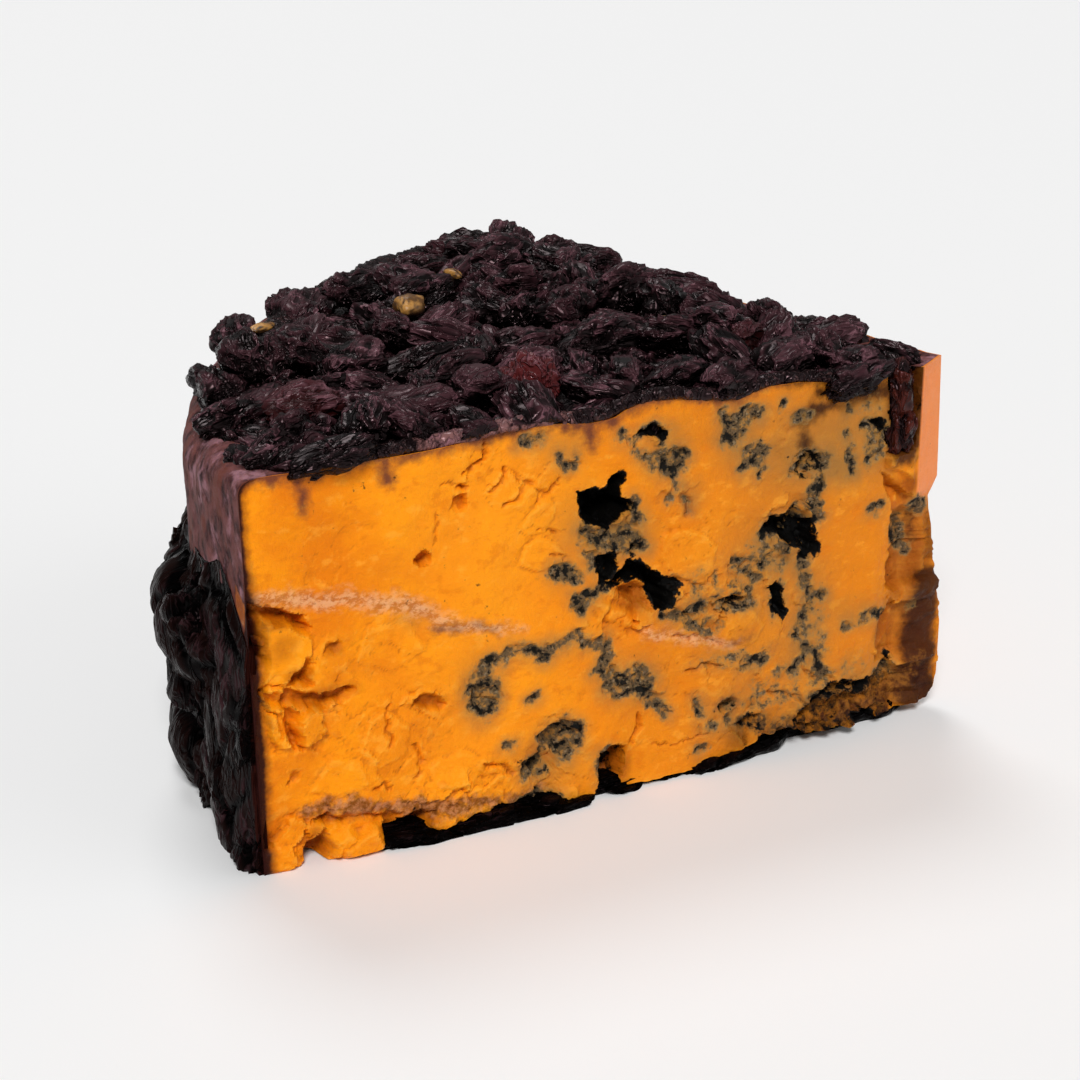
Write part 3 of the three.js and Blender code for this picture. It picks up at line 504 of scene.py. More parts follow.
# Blue-grey mould that follows the cracks: each vein is a path of (x, z, half width)
VEINS = [
    [(57.5, 76.3, 0.7), (60.5, 76.2, 0.8)],
    [(64.5, 72.5, 0.3), (66.5, 70, 0.4), (68, 69.8, 0.4), (68.5, 72, 0.3)],
    [(78, 74.6, 0.5), (78.3, 74.3, 0.4)],
    [(81.5, 74, 0.5), (84.5, 75, 0.6), (87, 73.5, 0.6), (87, 72, 0.5)],
    [(80, 73.5, 0.4), (81, 71, 0.4), (83, 69.5, 0.5), (85, 68, 0.8)],
    [(85, 69.3, 0.7), (88, 68.4, 1.5), (91.3, 68.4, 1.1), (92.3, 67, 0.8), (90.5, 65.6, 1.2),
     (87.5, 66.2, 1.1)],
    [(89.5, 64, 0.7), (90, 62, 0.6), (88.7, 60.5, 0.4)],
    [(70.5, 57, 1.1), (73.5, 54.5, 1.4), (77, 53.5, 1.5), (81, 53.5, 1.1)],
    [(80, 50.6, 0.7), (83, 50.8, 0.8)],
    [(80.4, 60.6, 0.9), (81.6, 57, 0.8)],
    [(64, 49.6, 0.9), (66, 48.6, 1.4), (68.4, 47.2, 0.9)],
    [(68, 42.6, 0.7), (69.6, 40.6, 0.6), (69.6, 43, 0.6), (72.5, 43.4, 0.6), (75, 44.6, 0.6)],
    [(46, 27.6, 0.8), (47.4, 29.4, 0.8), (50, 29, 0.8), (50.8, 26, 0.8), (48.8, 23.2, 0.9),
     (46.4, 24.6, 0.7)],
    [(47, 30.8, 0.7), (49.4, 33, 0.7), (50.6, 34, 0.5)],
    [(52, 33, 0.4), (53.2, 35.4, 0.5), (58, 34.9, 0.5), (62, 34.6, 0.6), (66, 34.5, 0.6),
     (68, 35.6, 0.7), (70, 33.6, 0.5), (73, 32.6, 0.6), (75, 33, 0.5), (75.5, 30.5, 0.6),
     (74, 29.4, 0.6), (73, 27.5, 0.6), (74.6, 26, 0.7)],
    [(60.4, 32.2, 0.6), (62.6, 33.6, 0.7)],
    [(75.5, 22.6, 0.9), (77.6, 24.8, 0.9), (80, 23, 0.7), (81.6, 25.6, 0.6), (83.6, 24, 0.7),
     (85.4, 22.4, 0.7)],
    [(76.4, 26.6, 0.5), (77.4, 21, 0.6), (80.6, 21.4, 0.5)],
    [(82, 21.4, 0.6), (85.4, 19, 0.8), (87.6, 16.8, 0.7), (89.5, 14.6, 0.4)],
    [(58, 24.4, 0.3), (59.6, 24.4, 0.3)],
    [(53.3, 15.3, 0.6), (53.8, 15.2, 0.6)],
    [(61.4, 14.6, 0.8), (63.4, 17, 0.9), (66.4, 17.4, 0.9), (69, 16, 0.8), (68.4, 13, 0.8),
     (66, 10.6, 0.9)],
    [(60.6, 12, 0.9), (59, 9.6, 1.3), (57.6, 8.4, 0.9)],
    [(56.6, 2.2, 0.9), (60, 2.8, 1.3), (63, 2, 0.9)],
    [(74.6, 9.4, 0.9), (74.6, 4, 0.9), (75, 1, 1)],
    [(98.5, 10, 0.5), (98.7, 9.8, 0.5)],
    [(103, 10.3, 0.7), (103.3, 10.1, 0.7)],
    [(97, 4.8, 0.6), (97.3, 4.8, 0.6)],
    [(106.6, 9, 0.9), (109.4, 8.6, 1.1)],
    [(106.4, 22, 0.7), (109, 22, 0.8), (111.4, 23.6, 0.5)],
    [(88, 36, 0.7), (91, 35, 0.8), (94.4, 36.4, 0.7), (96.4, 36.8, 0.4)],
    [(100.8, 35.8, 0.6), (103.6, 36.8, 0.6), (106.2, 34.8, 0.5)],
    [(101, 75, 0.6), (102, 72, 0.9), (101.4, 69.8, 0.9), (103.6, 70, 0.6)],
    [(106.4, 74.6, 0.9), (108.6, 73.8, 0.9)],
    [(106, 66.6, 0.9), (109.6, 66, 0.8)],
    [(104.8, 63.4, 0.6), (107, 64.8, 0.6), (110, 63.4, 0.6), (109, 61.8, 0.5)],
    [(117.4, 61, 0.8), (118.4, 63.4, 0.8), (121.6, 64.4, 0.8), (124, 62.4, 0.9), (123.4, 59.6, 0.8),
     (123, 57, 0.7), (122.2, 54.4, 0.7), (122.4, 50.4, 0.8)],
    [(124, 49.6, 0.6), (123.2, 49.4, 0.6)],
    [(112.4, 50.4, 0.8), (110.4, 48, 0.7), (111.4, 46, 0.6)],
    [(115, 46.4, 0.8), (113, 43.6, 0.9), (110.6, 42.6, 0.8)],
    [(121.4, 43, 0.9), (120, 40.4, 0.8), (120.8, 37.2, 0.8), (122, 33.6, 0.9), (121.4, 30.4, 0.8),
     (119.6, 27.4, 0.8), (119.2, 25, 0.7), (121, 22.8, 0.8), (124, 20.6, 0.8), (124.2, 18, 0.7)],
    [(122, 33.4, 0.6), (125.6, 33, 0.5)],
    [(118.4, 18.8, 0.9), (120.4, 20, 0.8)],
    [(122.6, 12, 0.7), (125.6, 10.4, 1.2), (128, 10.2, 1.1), (133, 10.6, 0.9), (138, 10.2, 1),
     (142, 12.2, 0.8), (144, 13.2, 0.5)],
    [(126, 10, 1.1), (123, 8.4, 1.2), (121, 5.6, 1.2)],
    [(113.4, 75.4, 0.4), (113.8, 75.6, 0.4)],
    [(129.6, 72, 0.5), (129.4, 71.8, 0.4)],
    [(129.4, 66.6, 0.5), (129.6, 66, 0.4)],
    [(130.4, 63, 0.5), (130.6, 58.6, 0.5)],
    [(133.6, 68.6, 0.8), (136.6, 67.6, 0.9), (138.4, 65.4, 0.8), (137, 62.6, 0.8), (134.8, 61, 0.7)],
    [(136.2, 49.6, 0.6), (137.8, 49.8, 0.8)],
    [(131.4, 25.6, 0.7), (132, 25.2, 0.6)],
    [(135.6, 25.8, 0.6), (138.4, 26.4, 0.8), (141, 25.4, 0.6)],
    [(144.6, 44, 1.1), (146.4, 40, 1.2), (148, 37.4, 0.9)],
    [(147.6, 49, 0.9), (150.6, 47, 0.9)],
    [(104, 44, 0.5), (106.4, 42.6, 0.6), (109, 40, 0.5)],
    [(107.6, 37.6, 0.4), (108.6, 34.6, 0.4)],
    [(93.4, 33.6, 0.4), (96, 32, 0.4), (98, 30.4, 0.4)],
    [(96, 15.6, 0.4), (97, 13, 0.3)],
]

# Patches where the mould is mottled through the cheese: centre x and z, half width, half height,
# and how much of the patch it takes
MOTTLES = [
    (75.5, 54.5, 7, 4, 0.66), (81.4, 51.6, 3, 2.2, 0.9), (80.4, 58, 2.4, 3, 0.75),
    (72, 50, 2.2, 4, 0.55), (88.6, 67.6, 3.8, 3, 0.85), (89.6, 62, 1.4, 3, 0.7),
    (66, 48.8, 3.4, 2, 0.95), (48, 26.5, 3.4, 4.6, 0.9), (48.8, 32, 2.2, 2.6, 0.75),
    (61.5, 33, 2.4, 2, 0.75), (80, 23.5, 5, 3.6, 0.88), (75.2, 29.5, 1.5, 3, 0.75),
    (86.6, 18, 3.4, 2, 0.6), (65, 14.5, 4.4, 4, 1), (59.5, 9, 3, 2.8, 1), (59, 1.8, 5, 2.8, 0.95),
    (75.2, 5, 1.4, 5, 0.95), (104, 71.6, 3.6, 4.6, 0.85), (108.2, 74, 2.4, 2.4, 0.85),
    (107.5, 65.6, 4, 3.2, 0.75), (103, 70, 1.8, 1.5, 0.9), (120.5, 61.5, 4.2, 3.8, 0.85),
    (121.8, 54, 2.2, 5, 0.8), (118.6, 48.6, 4.4, 3.2, 1), (121.5, 44, 1.8, 3.4, 1),
    (112.4, 47.5, 3, 2.6, 0.8), (116, 50.5, 4, 2, 0.95), (119.4, 52.6, 2.4, 2, 0.6),
    (113.8, 35, 2.4, 4.4, 0.85), (122, 32.4, 2.6, 4, 0.8), (120, 26, 2.2, 4, 0.7),
    (122.5, 20.5, 4, 3.2, 0.78), (125, 15.6, 2.2, 3.4, 0.7), (136, 65, 3.4, 4.6, 0.82),
    (130.2, 62, 1.6, 4, 0.75), (129.8, 67, 1.2, 2, 0.7), (118, 72, 3.2, 1.6, 0.65),
    (137.6, 26.4, 4, 1.8, 0.8), (131.6, 25.6, 1.6, 1.4, 0.75), (93.4, 35.4, 5.4, 2.2, 0.8),
    (104, 35.8, 4, 2, 0.75), (99, 31.6, 2.6, 2, 0.45), (108, 22.5, 3.4, 1.5, 0.8), (103, 14, 3, 2, 0.8),
    (103, 10.3, 1.2, 1, 0.9), (98.5, 10, 1, 0.9, 0.9), (97, 4.8, 1, 0.8, 0.85),
    (109, 8.6, 4, 2.6, 0.85), (118, 6, 5, 3, 0.85), (128, 8.4, 9, 3.4, 0.9), (142, 10, 6, 4, 0.88),
    (125, 3, 8, 2.4, 0.85), (144, 42, 2.4, 3.4, 0.9), (149.6, 47.4, 3, 2.4, 1),
    (140.8, 20, 1.8, 3.6, 0.6), (150, 25, 1.4, 3, 0.5), (143, 10.6, 5, 2.6, 0.8), (100, 40, 12, 6, 0.2),
    (108, 44.4, 7, 4, 0.35), (69.4, 42, 2.6, 1.8, 0.9), (74, 44.6, 2, 1.2, 0.75),
    (67.5, 35.2, 1.6, 1.2, 0.9), (67, 70.4, 2.4, 1, 0.7), (60, 76.3, 2.4, 0.9, 0.85),
    (117, 18, 5, 3, 0.5), (123, 24, 4, 12, 0.4), (134, 16, 8, 4, 0.15), (112, 14, 10, 5, 0.36),
    (93, 57.6, 1.6, 2.6, 0.55), (134, 72, 5, 3, 0.4), (102, 24, 8, 2, 0.4), (138, 49.8, 1.6, 1.2, 0.8),
    (87, 74, 2.4, 1.4, 0.6), (113.6, 41.6, 4, 3, 0.55), (92, 43, 5, 2.4, 0.4),
]

# Soft brown tint of the cheese round the mould: centre x and z, half width, half height, strength
STAINS = [
    (105, 70, 9, 10, 0.8), (122, 66, 20, 14, 1), (136, 66, 8, 13, 0.9), (112, 44, 14, 14, 0.6),
    (117, 45, 6, 10, 0.95), (128, 60, 8, 7, 1.15), (97, 37, 14, 8, 0.45), (121, 28, 9, 17, 0.75),
    (133, 9, 20, 11, 0.9), (150, 30, 7, 24, 0.7), (76, 54, 10, 9, 1), (70, 58, 8, 10, 0.5),
    (63, 10, 10, 11, 0.6), (48, 28, 7, 10, 0.6), (80, 24, 10, 8, 0.6), (88, 70, 8, 8, 0.6),
    (104, 12, 11, 9, 0.6), (66, 74, 9, 6, 0.4), (103, 25, 10, 6, 0.4), (66, 48, 6, 5, 0.5),
    (34, 46, 6, 4, 0.4), (60, 34, 14, 4, 0.3), (72, 43, 5, 4, 0.5), (131, 28, 11, 5, 0.5),
    (94, 60, 4, 5, 0.5), (108, 28, 8, 10, 0.4), (86, 40, 6, 6, 0.5),
]

# Where the broken tip and foot have dried to dark brown and amber: centre, half sizes, strength
SCORCHED = [
    (133, 4, 20, 8, 1.3), (153.4, 5, 5.6, 7, 0.8), (140.6, 21, 2.4, 3.6, 0.45), (110, 6, 8, 5, 0.7),
    (155, 40, 3, 10, 0.5), (145, 44, 2.4, 4, 0.4), (146, 7, 5, 4, 0.8),
]

# Painted shade: deep brown-orange where the cheese is broken back into shade: centre, half sizes, strength
SHADE_PATCHES = [
    (144.6, 36, 4, 11, 0.75), (144, 20, 4, 6, 0.6), (144.6, 53.6, 4, 2.6, 0.95), (1, 47, 3.4, 9, 0.95),
    (13, 3, 3, 5, 0.95), (15, 34, 8, 2.2, 0.6), (33, 3.6, 6, 3.4, 0.9), (78, 6, 3.4, 5.5, 0.85),
    (81, 41, 4, 3.6, 0.8), (152, 36, 5, 11, 0.6), (152, 18, 6, 14, 0.7), (60, 12.5, 3, 3, 0.5),
    (134, 5, 15, 5, 0.6), (20, 8.6, 10, 1.4, 0.6), (10.4, 39, 3, 2.4, 0.7), (37, 28, 4, 1.8, 0.7),
    (17.5, 43, 2.4, 1.4, 0.6), (7.6, 50.6, 5, 1.4, 0.7), (150, 36, 4, 12, 0.8),
    (7, 45.6, 3.4, 3.6, 0.5),
]

# Wine that has soaked in, the pinkish pressed seam, and the dry brown crust above the foot
WINE = [
    [(28.6, 78, 1.6), (28.8, 73.6, 1.2)],
    [(11.6, 77, 1.4), (12.4, 71, 0.8)],
    [(70.6, 78, 2.2), (71.4, 74.6, 1.4), (71.8, 73, 0.8)],
    [(117.6, 71.6, 1.2), (121, 72.8, 2), (124.4, 73.2, 1.2)],
    [(119, 68.2, 1.2), (119.6, 66.4, 1.6)],
    [(101.4, 14.2, 0.9), (104.2, 13.6, 0.9)],
    [(38, 42.8, 0.5), (44, 41.8, 0.6)],
    [(46, 42.4, 0.5), (51, 40, 0.6)],
    [(143.6, 62.6, 4.6), (143.8, 78, 6)],
    [(152.8, 3, 4.8), (153.4, 28, 4.4)],
    [(92.6, 59, 0.5), (93.4, 56.6, 0.5)],
    [(103, 27.6, 0.5), (107, 28.2, 0.5)],
    [(74.4, 51.6, 0.4), (77, 51.4, 0.4)],
    [(0, 78, 1.4), (30, 77.9, 1), (50, 78.6, 0.6)],
    [(122, 77, 1.2), (130, 74.6, 1.4), (139, 74.4, 1.6)],
    [(66, 78.4, 1.4), (76, 78, 1.2)],
]
SEAM = [
    [(0.6, 55.4, 0.8), (6, 54.6, 1.2), (12, 53.4, 1.1), (18, 52, 1.2), (24, 51, 1.3), (32, 48.9, 1.4),
     (37, 46.4, 1.1), (41, 43.6, 0.8), (47, 41.4, 0.5), (56, 39.4, 0.3)],
    [(84, 33.4, 0.5), (92, 30.4, 0.7), (104, 26.8, 0.3)],
]
CRUST = [
    [(11, 11, 0.8), (16, 11.2, 1.5), (20, 10.4, 1.9), (24, 9.2, 1.2)],
    [(24, 9, 0.7), (29, 8.2, 1.3), (33, 7.8, 1.5), (37, 6.2, 1.6), (42, 5, 1.5), (47, 4.6, 1.3),
     (51, 4.2, 1)],
    [(120, 3.4, 1.4), (126, 5.6, 1.6), (134, 6.4, 1.8), (142, 5.4, 2), (148, 6, 2), (152, 12, 1.8)],
    [(112, 4.6, 1.2), (118, 6.4, 1.2)],
    [(148, 47, 0.7), (149.6, 40, 0.8)],
    [(55, 3, 1.1), (60, 4.2, 1.2)],
]


def nearest_of(x, z, paths):
    """Least distance, in millimetres, to any of the paths, negative inside their width."""
    return np.min([path_distance(x, z, path) for path in paths], 0)


def patches(x, z, spots, firm=0.45):
    """Greatest share of any soft-edged oval spot that covers each point."""
    share = np.zeros(np.shape(x))
    for cx, cz, across, up, strength in spots:
        away = np.hypot((x - cx) / across, (z - cz) / up)
        share = np.maximum(share, strength * (1 - ease(firm, 1.25, away)))
    return share


def mould_share(x, z):
    """Share of the cheese that mould takes up: full inside veins and mottled patches, fading out."""
    sx, sz = ragged(x, z, 1.0, 2.6, 90)
    along_veins = 1 - ease(-0.5, 1.7, nearest_of(sx, sz, VEINS))
    return np.maximum(along_veins * 0.98, patches(sx, sz, MOTTLES))


def mould_halo(x, z):
    """Share of the brown halo round the mould: it fades over a few millimetres from each vein and
    reaches half as far again as each mottled patch."""
    sx, sz = ragged(x, z, 1.6, 5, 95)
    along_veins = 1 - ease(-0.6, 3.6, nearest_of(sx, sz, VEINS))
    wide = [(cx, cz, 1.5 * across, 1.5 * up, strength) for cx, cz, across, up, strength in MOTTLES]
    return np.maximum(0.8 * along_veins, patches(sx, sz, wide, 0.15))


def blackened(x, z):
    """How black each point is painted: inside the hollows, for mould and as painted shade, over a
    ragged border, not on the crumbs.
    """
    sx, sz = torn_place(x, z)
    fx, fz = flake_place(x, z)
    share = np.zeros(np.shape(x))
    for outline, _, _, black in HOLLOWS:
        if black > 0:
            share = np.maximum(share, black * ease(-1.5, 0.5, inside_outline(sx, sz, outline)))
    for outline, _, _ in FLAKES:
        share = share * (1 - 0.85 * ease(-0.2, 0.4, inside_outline(fx, fz, outline)))
    return share


def marbling(points, seed):
    """Mould on the other faces: bands where layered noise passes its middle, in parts of the cheese."""
    band = np.abs(layered(points / 17, 4, seed) - 0.5) * 22
    sparse = ease(0.5, 0.62, layered(points / 26, 2, seed + 5))
    return np.clip(1.0 - 0.6 * (band + 7 * (1 - sparse)), 0, 1)


def crevices(depth):
    """How far each point lies behind its neighbours, one and three steps away on the grid, each
    counted up to a quarter of a millimetre: above zero in cracks, below zero on edges."""
    steps = [(step, axis) for axis in (0, 1) for step in (-3, -1, 1, 3)]
    return sum(np.clip(depth - np.roll(depth, *step), -0.25, 0.25) for step in steps) / len(steps)


def paste_fields(grid):
    """Shares of mould, stain and char, and distances in millimetres to the wine, seam, crust and
    rind, negative inside them, at every point of the cheese's skin."""
    x, y, z = np.moveaxis(grid, -1, 0)
    sx, sz = ragged(x, z, 0.8, 2.6, 90)
    on_front = np.zeros(x.shape, bool)
    on_front[:, :FRONT_COLUMNS] = True
    near_tip = np.zeros(x.shape, bool)
    near_tip[:, FRONT_COLUMNS:FRONT_COLUMNS + FACET_COLUMNS + 4] = True
    rim = WALL_RADIUS - np.hypot(x - WHEEL[0], y - WHEEL[1])
    unseen = marbling(grid, 200) * ease(30, 60, rim)
    seen = on_front | near_tip
    fields = {
        "mould": np.where(seen, mould_share(x, z), unseen),
        "stain": np.where(seen, patches(sx, sz, STAINS, 0.1), 0.7 * ease(0, 0.5, unseen)),
        "halo": np.where(seen, mould_halo(x, z), 0.9 * ease(0, 0.6, unseen)),
        "scorch": np.where(seen, patches(sx, sz, SCORCHED, 0.4), 0),
        "black": np.where(on_front, blackened(x, z), 0),
        "shade_and_tear": np.where(seen, patches(sx, sz, SHADE_PATCHES, 0.3), 0),
        "wine": np.where(seen, nearest_of(sx, sz, WINE), PASTE_HEIGHT - z - 0.8),
        "seam": np.where(on_front, nearest_of(sx, sz, SEAM),
                         np.abs(z - 50 + rim * 0.14) - 0.4 + rim * 0.05),
        "crust": np.where(seen, nearest_of(sx, sz, CRUST), z - 4),
    }
    angle = np.arctan2(y - WHEEL[1], WHEEL[0] - x)
    fields["rind"] = rind_radius(angle, z) - np.hypot(x - WHEEL[0], y - WHEEL[1])
    wall = FRONT_COLUMNS + FACET_COLUMNS + BACK_COLUMNS
    along_arc = (angle - CORNER_ANGLE) * WALL_RADIUS
    torn = 1 - np.hypot((along_arc - 3) / 5, (z - 51 - 0.6 * along_arc) / 5)
    fields["rind"][:, wall:] = (-1 + 3.2 * np.maximum(torn, 0))[:, wall:]
    # On the rind the same tint browns the torn patch, in its own colour
    fields["shade_and_tear"][:, wall:] = ease(0, 0.4, torn)[:, wall:]
    fields["facet"] = np.where(near_tip, 1.0, 0) * ease(47, 50, z)
    fields["crevice"] = np.where(seen, crevices(y), 0)
    fields["depth"] = np.where(on_front, y - tip_reach(z)[1] * ease(136, 147, x), 0)
    collar = np.interp(z, [0, 38, 44, 52, 58, 66, 78], [1.8, 2.0, 3.0, 2.4, 1.2, 0.8, 1.2])
    fields["collar"] = fields["rind"] - collar * np.where(on_front, 1, 0.6)
    round_corner = along_arc - np.interp(z, [0, 40, 48, 54], [7, 6, 3, -2])
    fields["collar"][:, wall:] = round_corner[:, wall:]
    on_top = {"seam": 9, "crust": 9, "wine": 4, "rind": -1, "collar": 3}
    for key in fields:
        if key != "depth":
            fields[key][ROWS:] = on_top.get(key, 0)
    # The wine colour reaches an uneven way down from the top edge of each face
    darkened_to = 0.2 + 2.4 * layered(sheet(x / 7, y / 7), 3, 96) ** 1.5
    below_edge = np.where(on_front, hem(x), PASTE_HEIGHT) - z - darkened_to
    fields["wine"][:ROWS] = np.minimum(fields["wine"], below_edge)[:ROWS]
    return fields


paste_points = paste_grid()
paste_values = paste_fields(paste_points)
points, faces = closed_tube(paste_points)
paste = add_piece("cheese_paste", points, faces, paste_values)
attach(paste, "root")
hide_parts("paste")


def fill_inputs(tree, node, values):
    """Sets a node's inputs by name or number; values that are sockets are linked."""
    for key, value in values.items():
        if isinstance(value, bpy.types.NodeSocket):
            tree.links.new(value, node.inputs[key])
        else:
            node.inputs[key].default_value = value
    return node


def add_node(tree, kind, values=None, **settings):
    """Adds a shader node with its settings and the values of its inputs."""
    node = tree.nodes.new(kind)
    for key, value in settings.items():
        setattr(node, key, value)
    return fill_inputs(tree, node, values or {})


def new_material(name):
    """An empty node material with its Principled shader linked to the output."""
    material = bpy.data.materials.new(name)
    material.use_nodes = True
    tree = material.node_tree
    tree.nodes.clear()
    shader = tree.nodes.new("ShaderNodeBsdfPrincipled")
    output = tree.nodes.new("ShaderNodeOutputMaterial")
    tree.links.new(shader.outputs[0], output.inputs["Surface"])
    return material, tree, shader


def speckle(tree, scale, detail=4, rough=0.6, stretch=(1, 1, 1), offset=0):
    """Noise on Object coordinates, in features per metre, stretched along the axes."""
    place = add_node(tree, "ShaderNodeTexCoord").outputs["Object"]
    turn = add_node(tree, "ShaderNodeMapping", {
        "Vector": place, "Scale": stretch, "Location": (offset,) * 3})
    return add_node(tree, "ShaderNodeTexNoise", {
        "Vector": turn.outputs[0], "Scale": scale, "Detail": detail, "Roughness": rough}).outputs["Fac"]


def spread(tree, value, low, high, out_low=0.0, out_high=1.0, smooth=True):
    """Maps a value's range low to high on to another, smoothly and kept inside it."""
    node = add_node(tree, "ShaderNodeMapRange", {
        "Value": value, "From Min": low, "From Max": high, "To Min": out_low, "To Max": out_high})
    node.interpolation_type = "SMOOTHSTEP" if smooth else "LINEAR"
    return node.outputs[0]


def reckon(tree, operation, first, second=0.0):
    """One step of arithmetic on two values."""
    return add_node(tree, "ShaderNodeMath", {0: first, 1: second}, operation=operation).outputs[0]


def linear(code):
    """A colour given as six hex digits, turned from display values into linear ones."""
    channels = np.array([int(code[i:i + 2], 16) for i in (0, 2, 4)]) / 255
    return tuple(np.where(channels < 0.04045, channels / 12.92, ((channels + 0.055) / 1.055) ** 2.4))


def blend_colour(tree, share, first, second):
    """Mixes two colours, each a socket or six hex digits, by a share."""
    node = add_node(tree, "ShaderNodeMix", data_type="RGBA")
    for key, value in (("Factor", share), ("A", first), ("B", second)):
        socket = [s for s in node.inputs if s.name == key and s.type in ("RGBA", "VALUE") and s.enabled][0]
        if isinstance(value, bpy.types.NodeSocket):
            tree.links.new(value, socket)
        else:
            socket.default_value = (*linear(value), 1) if isinstance(value, str) else value
    return [s for s in node.outputs if s.type == "RGBA"][0]


def tinted(tree, colour, share, tone, most=None):
    """Lays a tone over a colour by a share, times the most that it may cover."""
    share = share if most is None else reckon(tree, "MULTIPLY", share, most)
    return blend_colour(tree, share, colour, tone)


def bump_of(tree, height, strength, distance):
    """Bump of a height, whose full swing stands for a distance in metres."""
    return add_node(tree, "ShaderNodeBump", {
        "Height": height, "Strength": strength, "Distance": distance}).outputs[0]


def ragged_edge_group():
    """Node group: a distance roughened by noise, then turned into a mask with a crisp edge."""
    group = bpy.data.node_groups.new("ragged edge", "ShaderNodeTree")
    for name, start in (("Distance", 1.0), ("Fineness", 500.0), ("Raggedness", 1.0), ("Softness", 0.4)):
        socket = group.interface.new_socket(name, in_out="INPUT", socket_type="NodeSocketFloat")
        socket.default_value = start
    group.interface.new_socket("Mask", in_out="OUTPUT", socket_type="NodeSocketFloat")
    inputs = group.nodes.new("NodeGroupInput").outputs
    place = add_node(group, "ShaderNodeTexCoord").outputs["Object"]
    grain = add_node(group, "ShaderNodeTexNoise", {
        "Vector": place, "Scale": inputs["Fineness"], "Detail": 5.0, "Roughness": 0.62}).outputs["Fac"]
    swing = reckon(group, "MULTIPLY", reckon(group, "SUBTRACT", grain, 0.5), inputs["Raggedness"])
    roughened = reckon(group, "ADD", inputs["Distance"], swing)
    low = reckon(group, "MULTIPLY", inputs["Softness"], -1.0)
    mask = add_node(group, "ShaderNodeMapRange", {
        "Value": roughened, "From Min": low, "From Max": inputs["Softness"], "To Min": 1.0, "To Max": 0.0})
    mask.interpolation_type = "SMOOTHSTEP"
    output = group.nodes.new("NodeGroupOutput")
    group.links.new(mask.outputs[0], output.inputs["Mask"])
    return group


RAGGED_EDGE = ragged_edge_group()


def stored(tree, name):
    """A value kept on the mesh."""
    return add_node(tree, "ShaderNodeAttribute", attribute_name=name).outputs["Fac"]


def edge_mask(tree, name, fineness, raggedness, softness, grow=0.0):
    """Mask of a stored distance by the ragged edge group, widened by grow millimetres."""
    group = add_node(tree, "ShaderNodeGroup", node_tree=RAGGED_EDGE)
    return fill_inputs(tree, group, {
        "Distance": reckon(tree, "SUBTRACT", stored(tree, name), grow),
        "Fineness": fineness, "Raggedness": raggedness, "Softness": softness}).outputs["Mask"]


